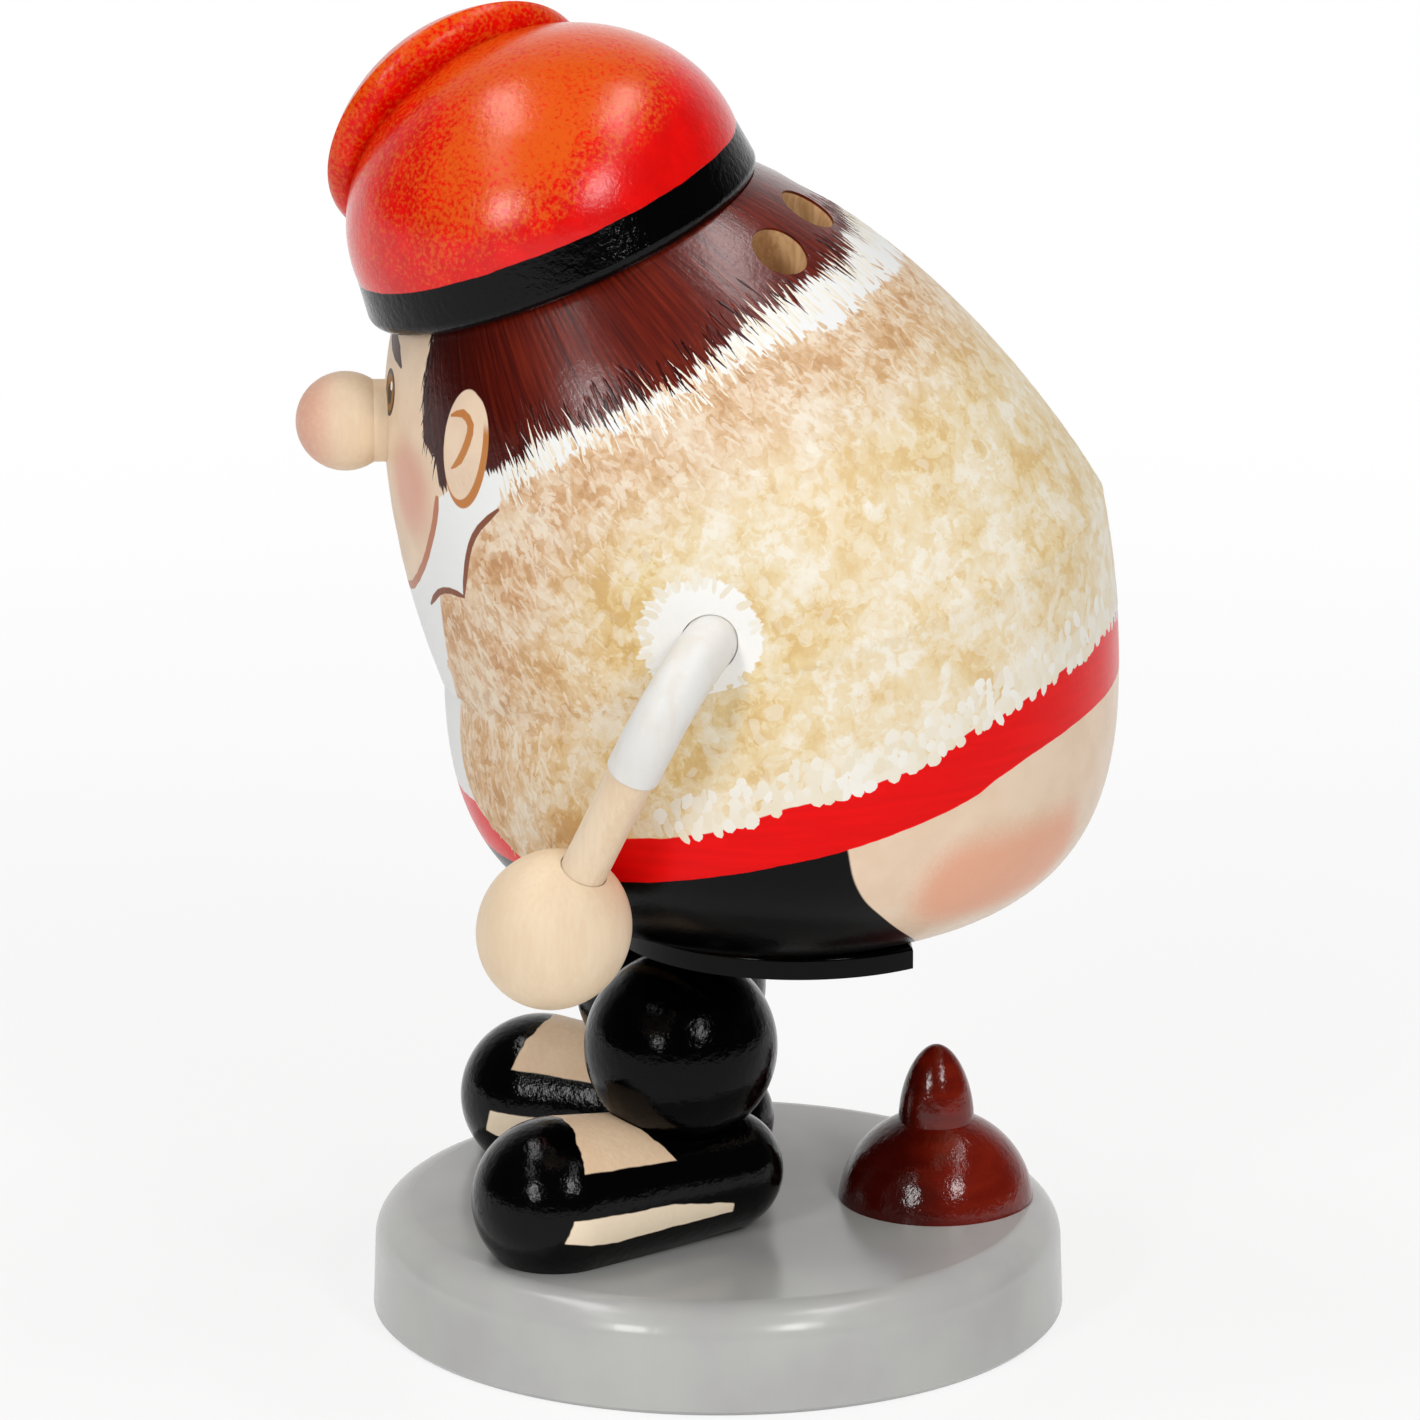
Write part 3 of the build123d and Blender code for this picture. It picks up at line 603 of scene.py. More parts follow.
# %% Fur ground group
shoulder_place, patch_reach = (34.5, -3.7, 84.6), 5.7
effect = Effect("fur_ground", dict(Point="Vector", Gold="Float", Tan="Float"),
                dict(Color="Color", Height="Float", Patch="Float"))
point, gold, tan = effect.takes
bend = effect.vector("SUBTRACT", point.noise(0.55, output="Color"), (0.5, 0.5, 0.5))
bent = bend * (2.6, 2.6, 2.6) + point
cells = effect.node("ShaderNodeTexVoronoi", {"Vector": bent, "Scale": 0.85, "Randomness": 1.0})
cell = Wire(effect, cells.outputs["Color"]).parts()[0]
soft, fine = point.noise(0.13, 4.0, 0.62), bent.noise(0.9, 3.0, 0.6)
blot = bent.noise(0.34, 4.0, 0.6).ease(0.48, 0.54)
pick = 0.5
for wave, weight, by_tan in ((soft, 1.05, -0.05), (fine, 0.24, 0.16),
                             (cell, 0.14, 0.12), (blot, 0.15, -0.08)):
    pick = (wave - 0.5) * (tan * by_tan + weight) + pick
shades = (0.28, 0.43, 0.56, 0.72)
cream = pick.ramp(shades, (231, 200, 146), (238, 217, 177), (241, 226, 197), (246, 238, 222))
golden = pick.ramp(shades, (217, 177, 100), (230, 199, 128), (237, 214, 162), (245, 235, 211))
tanned = pick.ramp(shades, (198, 146, 102), (216, 171, 128), (228, 196, 162), (238, 217, 190))
x, y, z = point.parts()
gone = effect.join(abs(x), y, z) - shoulder_place
from_arm = gone.length()
gold = effect.maths("ADD", gold, from_arm.ease(20.0, 8.0, 0.0, 0.3), clamp=True)
patch_edge = effect.vector("NORMALIZE", gone).noise(7.0) * 1.6 + patch_reach
effect.give(Color=tan.mix(gold.mix(cream, golden), tanned),
            Height=1.0 - Wire(effect, cells.outputs["Distance"]),
            Patch=(patch_edge - from_arm).crisp(0.15))
print("the arm patch is round", shoulder_place)

# %% [markdown]
# ## Painted edges
# The lines below were measured on the photograph and carried to the body as (Around, Up) or (y, z)
# pairs. Both the shader and the Geometry Nodes marks read them, so raised strokes and flat paint
# end at the same place.

# %% Edge tables
hair_edge = [(0, 40.3), (36, 40.3), (44, 40.3), (52, 41), (58, 40.3), (63, 40.2), (69, 42.2),
             (75.8, 41), (81, 40.7), (87, 40.1), (94, 40.2), (100, 39.4), (106.6, 39.2), (120, 39.8),
             (129, 39.5), (141, 38.7), (155, 37.2), (167, 38.1), (180, 38)]
sideburn_edge = [(36, 37.9), (40.3, 37.9), (43.6, 38.3), (46.4, 34.8), (49, 35.8), (52.3, 35.9),
                 (56.6, 39.5), (59.7, 42.2), (66, 44)]
fur_edge = [(0, 20), (14, 24.5), (20, 27.5), (22, 28), (27.7, 29.3), (32.4, 29.4), (36.7, 28.6),
            (40.4, 31.5), (43.9, 33.6), (47.9, 35.2), (54.5, 36.3), (63, 38), (72, 38.1), (78, 38.3),
            (86, 38), (93, 38.2), (100, 37.5), (110, 37.4), (119, 36.2), (127, 35.2), (139.5, 32.8),
            (158, 32.1), (180, 30)]
vest_edge = [(54, 20), (58.5, 14), (61.5, 10.4), (66, 9.3), (71, 10), (75, 11.5), (79, 13),
             (83, 14.3), (90, 16)]
face_edge = [(80, -2), (82, 0.2), (82.4, 3.7), (83.4, 7.2), (85, 10), (86.9, 12.3), (90, 14.7),
             (92.8, 16.1), (95.4, 16.8), (98, 20), (130, 20)]
sash_top = [(-31, 60.0), (-27, 60.4), (-11.7, 61.9), (-3.6, 63.4), (5.6, 66.7), (13.3, 68.6),
            (21.2, 71.2), (25.2, 73.5), (28, 74.4), (34.8, 77.1), (44, 79.6)]
sash_foot = [(-31, 53.8), (-25, 54.5), (-11.1, 56.6), (-2, 58.5), (5.7, 60.3), (11.4, 61.6),
             (18.5, 63.7), (25.3, 66.1), (28.1, 67.7), (34.9, 70.3), (44, 72.6)]
seat_edge = [(0, 50), (2.1, 59.3), (7.8, 74.4), (11.4, 79.6), (16.3, 82), (24, 83.5)]
hem_start, hem_full, hem_drop = -12.0, -20.0, 6.0
measured = hair_edge, sideburn_edge, fur_edge, vest_edge, face_edge, sash_top, sash_foot, seat_edge
print("edge tables:", sum(len(table) for table in measured), "measured places")

# %% [markdown]
# ## Upper body
# Paint goes on in the painter's order: white shirt and collar, fur, face, blush, hair, ear, and last
# the thin lines with a pointed brush. Each layer is one mix over the layers below, through a mask.
# Strokes are distances to short line pieces in space, so they keep their width round the curve.

# %% Upper body paint: ground layers
shirt_white, patch_white = srgb(243, 243, 241), srgb(249, 247, 243)
robe = Finish("painted_upper_body")
spot = robe.mirrored
x, y, z = spot.parts()
around, upness, inset = robe.group("body_map", Point=spot)
right_half = robe.maths("LESS_THAN", robe.point.parts()[0], 0.0)
comb = robe.join(around * 0.9, upness * 0.07, right_half * 40.0).noise(1.0, 3.0, 0.6)
tooth = comb - 0.5

below_collar = around.curve(fur_edge) - upness
gold = (z.ease(92.0, 78.0, 0.0, 0.2) + around.ease(105.0, 145.0, 0.0, 0.3)
        + around.ease(96.0, 72.0, 0.0, 0.3))
tan = robe.maths("ADD", around.ease(80.0, 43.0, 0.0, 0.75),
                 below_collar.ease(15.0, 3.0, 0.0, 0.85), clamp=True)
fur, tuft, patch = robe.group("fur_ground", Point=robe.point, Gold=gold, Tan=tan)
behind_edge = (x - z.curve(vest_edge, "AUTO_CLAMPED")).ease(-0.1, 0.3)
fur_mask = (tooth * 3.0 + below_collar).crisp(0.25) * (behind_edge | y.ease(0.0, 4.0))
colour = patch.mix(fur_mask.mix(shirt_white, fur), patch_white)
robe.tell("shirt, fur and arm patch")


# %% Brushes for the face
def dab(centre, toward, half_long, half_wide, on_normal):
    """The depth inside an oval on the skin, from its middle, its long way and the skin's normal."""
    normal = Vector(on_normal).normalized()
    long_way = Vector(toward) - normal * Vector(toward).dot(normal)
    long_way.normalize()
    return robe.group("paint_oval", Point=spot, Centre=centre, Long_Way=long_way / half_long,
                      Wide_Way=normal.cross(long_way) / half_wide, Half=half_wide)[0]


def line(points, halves):
    """The depth inside a brush line through points, with a half width at each of them."""
    deepest = None
    for a, b, p, q in zip(points, points[1:], halves, halves[1:]):
        depth, = robe.group("paint_stroke", Point=spot, From=a, To=b, From_Half=p, To_Half=q)
        deepest = depth if deepest is None else deepest | depth
    return deepest


def smooth(points, steps=2):
    """The same line with more places on it, rounded as a brush goes."""
    rows = [Vector(p) for p in points]
    rows = [rows[0]] + rows + [rows[-1]]
    made = []
    for a, b, c, d in zip(rows, rows[1:], rows[2:], rows[3:]):
        for step in range(steps):
            t = step / steps
            made.append(tuple(0.5 * (2 * b + (c - a) * t + (2 * a - 5 * b + 4 * c - d) * t ** 2
                                     + (3 * b - a - 3 * c + d) * t ** 3)))
    return made + [tuple(rows[-1])]


def swelling(points, half, start=0.35, end=0.25):
    """A brush line that swells to its half width in the middle and thins out at both ends."""
    count = len(points)
    return line(points, [half * min(1.0, start + 4 * i / count, end + 4 * (count - 1 - i) / count)
                         for i in range(count)])


print("brushes for the face:", ", ".join(brush.__name__ for brush in (dab, line, smooth, swelling)))

# %% Upper body paint: face, hair and ear
face_mask = (z.curve(face_edge) - x).crisp(0.08) * y.ease(-10.0, -14.0)
face = robe.point.noise(0.25, 3.0).ease(0.35, 0.65).mix(srgb(234, 206, 178), srgb(240, 214, 186))
blush = dab((11.0, -33.2, 95.0), (0, 0.3, 1), 7.0, 7.0, (0.3, -0.9, 0.2)).ease(0.0, 5.0)
face = (blush * 0.75).mix(face, srgb(222, 156, 134))
colour = face_mask.mix(colour, face)

hair_line = tooth * 6.5 + (upness - around.curve(hair_edge))
burn_line = tooth * 4.5 + (around - upness.curve(sideburn_edge))
hair_mask = hair_line.crisp(0.2) * burn_line.crisp(0.25)
brown = comb.ramp((0.28, 0.5, 0.74), (58, 6, 2), (98, 20, 5), (128, 38, 13))
brown = around.ease(84.0, 46.0, 0.0, 0.75).mix(brown, srgb(30, 2, 2))
colour = hair_mask.mix(colour, brown)

ear_place, ear_normal, ear_way = (19.9, -27.5, 101.4), (0.62, -0.74, 0.26), (0.02, 0.06, 1)
ochre = srgb(196, 126, 66)
ear_curl = smooth([(17.8, -28.9, 104.7), (19.0, -27.7, 105.2), (20.1, -27.0, 104.2),
                   (20.1, -27.3, 102.4), (19.5, -28.1, 100.3), (18.7, -29.0, 99.2)])
ear_rim = z.ease(105.2, 103.4).mix(face, ochre)
for depth, paint in ((dab(ear_place, ear_way, 6.1, 3.2, ear_normal), ear_rim),
                     (dab((19.55, -27.8, 102.0), ear_way, 5.85, 2.85, ear_normal), face),
                     (swelling(ear_curl, 0.46), ochre)):
    colour = depth.crisp().mix(colour, paint)
robe.tell("face, hair and ear")

# %% Upper body paint: jaw, lapel, brow and eye
jaw = smooth([(16.7, -30.5, 95.4), (16.1, -30.7, 92.8), (14.7, -31.2, 90.0), (12.3, -31.8, 86.9),
              (7.2, -32.8, 83.4), (0.0, -33.2, 82.0), (-7.2, -32.8, 83.4)])[:-2]
lapel_upper = smooth([(23.8, -24.3, 96.0), (22.0, -26.2, 93.6), (20.9, -27.1, 91.4),
                      (20.1, -27.6, 88.7), (19.1, -27.8, 85.3)])
lapel_lower = smooth([(19.1, -27.8, 85.3), (17.0, -29.2, 85.4), (14.7, -30.3, 84.6),
                      (12.0, -31.0, 82.6)])
brow = line([(1.8, -34.7, 109.4), (3.6, -34.7, 109.2), (5.6, -34.4, 108.5), (7.6, -33.9, 107.4)],
            [0.7, 1.2, 1.05, 0.25])


def eye_dab(place, half_high, half_wide):
    return dab(place, (0, 0, 1), half_high, half_wide, (0.12, -0.98, 0.12))


eye_place, lapel_brown = (4.4, -35.1, 103.8), srgb(136, 78, 52)
for depth, soft, paint in (
        (swelling(jaw, 0.46, 0.7, 1.0), 0.05, srgb(190, 122, 92)),
        (swelling(lapel_upper, 0.36, 0.5, 0.4), 0.05, lapel_brown),
        (swelling(lapel_lower, 0.36, 0.5, 0.4), 0.05, lapel_brown),
        (brow, 0.05, srgb(66, 26, 16)),
        (eye_dab(eye_place, 2.55, 2.35), 0.05, srgb(58, 32, 16)),
        (eye_dab(eye_place, 2.05, 1.85), 0.15, srgb(150, 104, 44)),
        (eye_dab((4.5, -35.1, 103.6), 1.1, 1.0), 0.05, srgb(22, 12, 8)),
        # The small white dab is a painted highlight: a glint of light on the eye.
        (eye_dab((5.2, -35.1, 104.7), 0.5, 0.45), 0.05, srgb(250, 250, 246))):
    colour = depth.crisp(soft).mix(colour, paint)
robe.tell("jaw, lapel, brow and eye")

# %% Upper body paint: bare wood inside, varnish on the hair, gloss and relief
wood, _ = robe.wood((236, 198, 148), (200, 154, 106))
inside = inset.ease(0.22, 0.3)
varnish = hair_mask * around.ease(58.0, 84.0, 0.0, 0.55)
robe.set(Base_Color=inside.mix(colour, wood), Specular_IOR_Level=0.3,
         Coat_Weight=varnish, Coat_Roughness=0.3)
relief = hair_mask * comb * 0.6 + fur_mask * tuft * 0.8
robe.lacquer(inside * 0.2 - hair_mask * 0.22 + 0.42, 0.14, 0.06, relief)
robe.wear("upper_body")

# %% [markdown]
# ## Lower body
# The bowl carries the lower fur, the red sash, the black shorts and the bare seat with its blush.
# The sash climbs to the back, so its two edges are read from y, while shorts and seat meet along a
# line measured by the angle from the back and the height over the seat disc. In front of the arms
# the vest hangs lower, over the sash, which then shows only between the vest's two front edges.

# %% Lower body paint: fur
bowl = Finish("painted_lower_body")
spot = bowl.mirrored
x, y, z = spot.parts()
rear, over_seat = y - bowl_axis_y, z - seat_height
from_back = bowl.angle(x, rear)
wave = bowl.point.noise(0.3, 3.0) * 0.6 - 0.3
above_top = z - y.curve(sash_top, "AUTO_CLAMPED") + wave
above_foot = wave * 0.5 + (z - y.curve(sash_foot, "AUTO_CLAMPED"))

under_arm = y.ease(-1.0, -7.0, 0.0, 0.55) * above_top.ease(18.0, 5.0)
gold = above_top.ease(16.0, 1.0, 0.05, 0.15) + under_arm
tan = from_back.ease(114.0, 150.0, 0.0, 0.8)
fur, tuft, patch = bowl.group("fur_ground", Point=bowl.point, Gold=gold, Tan=tan)
fur_mask = (x - z.curve(vest_edge, "AUTO_CLAMPED")).ease(-0.1, 0.3) | y.ease(0.0, 4.0)
above_top = above_top + fur_mask * y.ease(hem_start, hem_full, 0.0, hem_drop)
colour = patch.mix(fur_mask.mix(shirt_white, fur), patch_white)
edging = (above_top + (1.2 - tuft * 2.4)).ease(6.0, 1.5, 0.0, 0.8) * y.ease(-9.0, -3.0)
colour = edging.mix(colour, srgb(243, 236, 220))
bowl.tell("shirt, fur and its pale edging")

# %% Lower body paint: seat, shorts and sash
seat = bowl.point.noise(0.2, 3.0).ease(0.35, 0.65).mix(srgb(236, 208, 180), srgb(241, 216, 190))
flush, = bowl.group("paint_stroke", Point=spot, From=(28.0, 24.5, 55.5), To=(20.0, 33.5, 56.5),
                    From_Half=7.8, To_Half=7.4)
flush = (flush + (bowl.point.noise(2.4, 3.0, 0.7) * 3.0 - 1.5)).ease(-0.5, 4.5)
seat = (flush * 0.85).mix(seat, srgb(240, 172, 140))
seat_line = over_seat.curve(seat_edge, "AUTO_CLAMPED") - from_back
dress = seat_line.crisp(0.25).mix(black_paint, seat)
sash_streak = (bowl.point * (0.1, 0.1, 1.2)).noise(1.0, 3.0)
sash = sash_streak.ease(0.35, 0.68).mix(srgb(232, 2, 3), srgb(240, 3, 4))
dress = above_foot.crisp(0.06).mix(dress, sash)
colour = above_top.crisp(0.08).mix(dress, colour)
bowl.tell("seat, shorts and sash")

# %% Lower body paint: bare wood inside, gloss and relief
outline = [(0, 20.0), (0.6, 22.1), (2.0, 26.0), (4.0, 29.4), (7.0, 32.3), (11.0, 34.5), (16.0, 35.7),
           (22.0, 36.1), (25.9, 36.15), (36.0, 35.67), (46.0, 34.2)]
wood, _ = bowl.wood((214, 174, 126), (172, 126, 82))
depth = over_seat.curve(outline) - bowl.join(x, rear, 0.0).length()
inside = depth.ease(1.6, 2.0) | over_seat.ease(0.06, 0.02)
furry = above_top.crisp(0.1)
bowl.set(Base_Color=inside.mix(colour, wood), Specular_IOR_Level=0.12)
bowl.lacquer(inside * 0.2 + furry * 0.18 + 0.24, 0.12, 0.06, furry * tuft, 0.8)
bowl.wear("belly_bowl")

# %% [markdown]
# ## Raised brush marks
# Close to the figure the paint stands up: dabs of cream on the fur, a scalloped white fringe over
# the sash, thin hair strokes that end in points over the collar. Flat colour can't catch the light
# like that. Geometry Nodes lay the marks: points on a guide surface, a small leaf of paint on each,
# turned along a comb direction, then pressed onto the true skin. A guide is a simple grid over the
# body that carries, for each kind of mark, how dense it is, which way it lies, and how warm it is.

# %% Guide grids over the body
def body_point(around_deg, up_deg):
    """Places on the leaning egg, in millimetres, as an array of shape (..., 3)."""
    turn, rise = np.radians(around_deg), np.radians(up_deg)
    beside = body_radius * np.cos(rise) * np.sin(turn)
    rear = -body_radius * np.cos(rise) * np.cos(turn)
    lift = body_reach * np.sin(rise)
    return (np.array(body_middle) + beside[..., None] * np.array((1.0, 0, 0))
            + rear[..., None] * np.array(body_back) + lift[..., None] * np.array(body_up))


def read(table, value):
    """The edge that a table gives for each value."""
    return np.interp(value, *zip(*table))


def fade(value, start, end):
    """Goes evenly from 0 to 1 while value goes from start to end."""
    return np.clip((value - start) / (end - start), 0, 1)


def bowl_point(from_front_deg, height):
    """Places on the lower bowl, by the angle from the front and the height over the seat."""
    turn, reach = np.radians(from_front_deg), read(outline, height)
    beside, rear = reach * np.sin(turn), bowl_axis_y - reach * np.cos(turn)
    return np.stack([beside, rear, seat_height + height], -1)


angles = np.linspace(-180, 180, 241)
upper_grid = np.meshgrid(angles, np.linspace(2, 64, 63), indexing="ij")
lower_grid = np.meshgrid(angles, np.linspace(6, 46, 41), indexing="ij")
upper_spots, lower_spots = body_point(*upper_grid), bowl_point(*lower_grid)
seam_lean = lean / 2
seam_way = np.array((0, -sin(seam_lean), cos(seam_lean)))
upper_seam, lower_seam = (
    (spots - np.array(seam_middle)) @ seam_way for spots in (upper_spots, lower_spots))
print("guide grids:", int((upper_seam > 0).sum()), "places above the seam and",
      int((lower_seam < 0).sum()), "below")

# %% The tree that lays brush marks
marks = bpy.data.node_groups.new("brush_marks", "GeometryNodeTree")
for label, kind in (
        ("Guide", "Geometry"), ("Upper Skin", "Object"), ("Lower Skin", "Object"), ("Gap", "Float"),
        ("Length", "Float"), ("Width", "Float"), ("Rise", "Float"), ("Point", "Float"),
        ("Sway", "Float"), ("Ragged", "Float"), ("Seed", "Int"), ("Paint", "Material")):
    marks.interface.new_socket(label, in_out="INPUT", socket_type="NodeSocket" + kind)
marks.interface.new_socket("Marks", in_out="OUTPUT", socket_type="NodeSocketGeometry")
lay = Bench(marks)
asked = {wire.socket.name: wire for wire in lay.wires("NodeGroupInput")}
most_marks, sunk = 4.0e6, -0.000015


def attribute(name, kind="FLOAT"):
    return lay.wire("GeometryNodeInputNamedAttribute", {"Name": name}, "Attribute", data_type=kind)


def chance(low, high, salt):
    feeds = {2: low, 3: high, "Seed": asked["Seed"] + salt}
    return lay.wire("FunctionNodeRandomValue", feeds, 1, data_type="FLOAT")


def stored(geometry, name, value, domain):
    feeds = {"Geometry": geometry, "Name": name, "Value": value}
    return lay.wire("GeometryNodeStoreNamedAttribute", feeds, data_type="FLOAT", domain=domain)


print("brush marks ask for:", ", ".join(label for label in asked if label))

# %% Points on the guide, and which way each mark lies
skins = lay.node("GeometryNodeJoinGeometry")
for label in ("Upper Skin", "Lower Skin"):
    lay.feed(skins.inputs[0], lay.wire("GeometryNodeObjectInfo", {"Object": asked[label]}, "Geometry"))
skins = Wire(lay, skins.outputs[0])
scatter = lay.node("GeometryNodeDistributePointsOnFaces", {
    "Mesh": asked["Guide"], "Distance Min": asked["Gap"], "Density Max": most_marks,
    "Density Factor": attribute("density"), "Seed": asked["Seed"]}, distribute_method="POISSON")
upright = lay.wire("FunctionNodeAlignRotationToVector", {
    "Vector": Wire(lay, scatter.outputs["Normal"])}, axis="Z")
combed = lay.wire("FunctionNodeAlignRotationToVector", {
    "Rotation": upright, "Vector": attribute("comb", "FLOAT_VECTOR")}, axis="X", pivot_axis="Z")
sway = chance(asked["Sway"] * -1.0, asked["Sway"], 1)
turned_by = lay.wire("FunctionNodeEulerToRotation", {0: lay.join(0.0, 0.0, sway)})
swayed = lay.wire("FunctionNodeRotateRotation", {"Rotation": combed, "Rotate By": turned_by},
                  rotation_space="LOCAL")
print("points, comb and sway:", len(marks.nodes), "nodes")

# %% A leaf of paint on each point, pressed onto the skin
blank = lay.wire("GeometryNodeMeshGrid", {
    "Size X": 1.0, "Size Y": 1.0, "Vertices X": 7, "Vertices Y": 3}, "Mesh")
x, y, _ = lay.wire("GeometryNodeInputPosition").parts()
round_half = lay.maths("SQRT", lay.maths("SUBTRACT", 1.0, x * x * 4.0, clamp=True))
spike_half = (0.5 - x) * x.ease(-0.5, -0.3)
leaf_half = round_half * (1.0 - asked["Point"]) + spike_half * asked["Point"]
crown = (1.0 - abs(y) * 2.0) * leaf_half
leaf = lay.wire("GeometryNodeSetPosition", {
    "Geometry": stored(blank, "crown", crown, "POINT"), "Position": lay.join(x, y * leaf_half, 0.0)})
size = lay.join(asked["Length"] * chance(0.65, 1.3, 2), asked["Width"] * chance(0.65, 1.35, 3), 1.0)
placed = lay.wire("GeometryNodeInstanceOnPoints", {
    "Points": Wire(lay, scatter.outputs["Points"]), "Instance": leaf,
    "Rotation": swayed, "Scale": size})
toned = stored(placed, "tone", chance(0.0, 1.0, 4), "INSTANCE")
real = lay.wire("GeometryNodeRealizeInstances", {0: toned})
here = lay.wire("GeometryNodeInputPosition")
ripple = lay.vector("SUBTRACT", here.noise(520.0, 1.0, output="Color"), (0.5, 0.5, 0.5))
here = here + ripple.scaled(asked["Ragged"])
nearest = lay.wire("GeometryNodeProximity", {0: skins, "Sample Position": here}, "Position",
                   target_element="FACES")
skin_way = lay.wire("GeometryNodeSampleNearestSurface", {
    0: skins, "Value": lay.wire("GeometryNodeInputNormal"), "Sample Position": here},
    data_type="FLOAT_VECTOR")
lift = attribute("crown") * asked["Rise"] + sunk
pressed = lay.wire("GeometryNodeSetPosition", {
    "Geometry": real, "Position": nearest + skin_way.scaled(lift)})
smoothed = lay.wire("GeometryNodeSetShadeSmooth", {"Geometry": pressed, "Shade Smooth": True})
painted = lay.wire("GeometryNodeSetMaterial", {"Geometry": smoothed, "Material": asked["Paint"]})
lay.node("NodeGroupOutput", {"Marks": painted})
print("brush marks tree:", len(marks.nodes), "nodes")

# %% [markdown]
# ## Brushes and their paint
# Each brush leaves marks of one kind. Its row below lists their sizes: the first five in millimetres,
# then how pointed a mark is, 0 to 1, and how far it may turn from the comb, in radians. Each paint
# picks its shade from the mark's random tone and from the tints of the guide.

# %% The brushes
brush_columns = ("Gap", "Length", "Width", "Rise", "Ragged", "Point", "Sway")
in_millimetres = 5
brushes = {
    "fur dab": (1.1, 2.4, 1.7, 0.05, 1.7, 0.0, 1.4),
    "seam dab": (0.7, 2.6, 1.6, 0.10, 1.0, 0.0, 0.9),
    "vest stroke": (0.7, 2.4, 0.7, 0.06, 0.7, 0.35, 0.55),
    "collar tuft": (0.7, 2.4, 0.8, 0.07, 0.4, 0.7, 0.4),
    "fringe": (0.9, 2.2, 1.8, 0.08, 0.6, 0.0, 0.5),
    "ray": (0.6, 2.1, 1.0, 0.07, 0.4, 0.3, 0.45),
    "hair": (0.55, 5.4, 0.6, 0.08, 0.2, 1.0, 0.22),
    "sideburn": (0.5, 4.6, 0.6, 0.08, 0.2, 1.0, 0.2),
    "streak": (0.7, 4.4, 0.5, 0.10, 0.2, 1.0, 0.25),
}


def guide(name, spots, density, comb, tints):
    """A grid mesh, in metres, that carries density, comb and tint attributes for the marks."""
    rows, columns = spots.shape[:2]
    number = np.arange(rows * columns).reshape(rows, columns)
    corners = number[:-1, :-1], number[1:, :-1], number[1:, 1:], number[:-1, 1:]
    faces = np.stack(corners, -1).reshape(-1, 4)
    mesh = bpy.data.meshes.new(name)
    mesh.from_pydata((spots.reshape(-1, 3) / 1000).tolist(), [], faces.tolist())
    for label, values in {"density": density, **tints}.items():
        layer = mesh.attributes.new(label, "FLOAT", "POINT")
        layer.data.foreach_set("value", np.ravel(values).astype(np.float32))
    layer = mesh.attributes.new("comb", "FLOAT_VECTOR", "POINT")
    layer.data.foreach_set("vector", np.ravel(comb).astype(np.float32))
    return mesh


def brush_on(name, brush, seed, paint, spots, density, comb, **tints):
    """Runs the tree on a guide and keeps the marks as a plain mesh that rides on the figure."""
    holder = bpy.data.objects.new(name + "_guide", guide(name + "_guide", spots, density, comb, tints))
    scene.collection.objects.link(holder)
    modifier = holder.modifiers.new("brush_marks", "NODES")
    modifier.node_group = marks
    sockets = {s.name: s.identifier for s in marks.interface.items_tree if s.in_out == "INPUT"}
    values = {"Upper Skin": turned["upper_body"], "Lower Skin": turned["belly_bowl"],
              "Paint": paint.material, "Seed": seed}
    for column, (label, value) in enumerate(zip(brush_columns, brushes[brush])):
        values[label] = value / 1000 if column < in_millimetres else value
    for label, value in values.items():
        modifier[sockets[label]] = value
    graph = bpy.context.evaluated_depsgraph_get()
    made = bpy.data.meshes.new_from_object(
        holder.evaluated_get(graph), preserve_all_data_layers=True, depsgraph=graph)
    made.name = name
    bpy.data.objects.remove(holder)
    piece = bpy.data.objects.new(name, made)
    scene.collection.objects.link(piece)
    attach(piece, "figure")
    print(name, "has", len(made.polygons), "faces")


print("brushes:", ", ".join(brushes))

# %% Paint for the marks
fur_paint = Finish("fur_dab_paint")
tone, gold, tan = (fur_paint.attribute(name) for name in ("tone", "gold", "tan"))
ground = fur_paint.group("fur_ground", Point=fur_paint.point, Gold=gold, Tan=tan)[0]
pale = tone.ease(0.35, 0.95) * (tan * 0.25 + 0.36)
colour = pale.mix(ground, tan.mix(srgb(246, 240, 228), srgb(241, 225, 203)))
shade = tone.ease(0.35, 0.0, 0.0, 0.7) * (tan * 0.43 + 0.20)
colour = shade.mix(colour, tan.mix(srgb(228, 194, 132), srgb(182, 130, 92)))
fur_paint.set(Base_Color=colour, Specular_IOR_Level=0.35)
fur_paint.lacquer(0.46, 0.12, 0.03)

hair_paint = Finish("hair_stroke_paint")
colour = hair_paint.attribute("tone").ramp((0.0, 0.6, 1.0), (44, 5, 2), (86, 18, 6), (116, 36, 14))
colour = hair_paint.attribute("dark").mix(colour, srgb(30, 2, 2))
hair_paint.set(Base_Color=colour, Specular_IOR_Level=0.3)
hair_paint.lacquer(0.26, 0.12, 0.03)

white_paint = Finish("white_stroke_paint")
colour = white_paint.attribute("tone").ramp(
    (0.0, 0.5, 1.0), (238, 226, 200), (242, 234, 217), (246, 242, 233))
white_paint.set(Base_Color=colour, Specular_IOR_Level=0.35)
white_paint.lacquer(0.42, 0.12, 0.03)
for paint in (fur_paint, hair_paint, white_paint):
    paint.tell("tones and gloss")

# %% [markdown]
# ## Fur, fringe, hair and collar marks
# The guides are measured against the same edge tables as the flat paint. Marks keep clear of the
# smoke holes, and they lie down the body, away from the cap, as the painter's hand went.

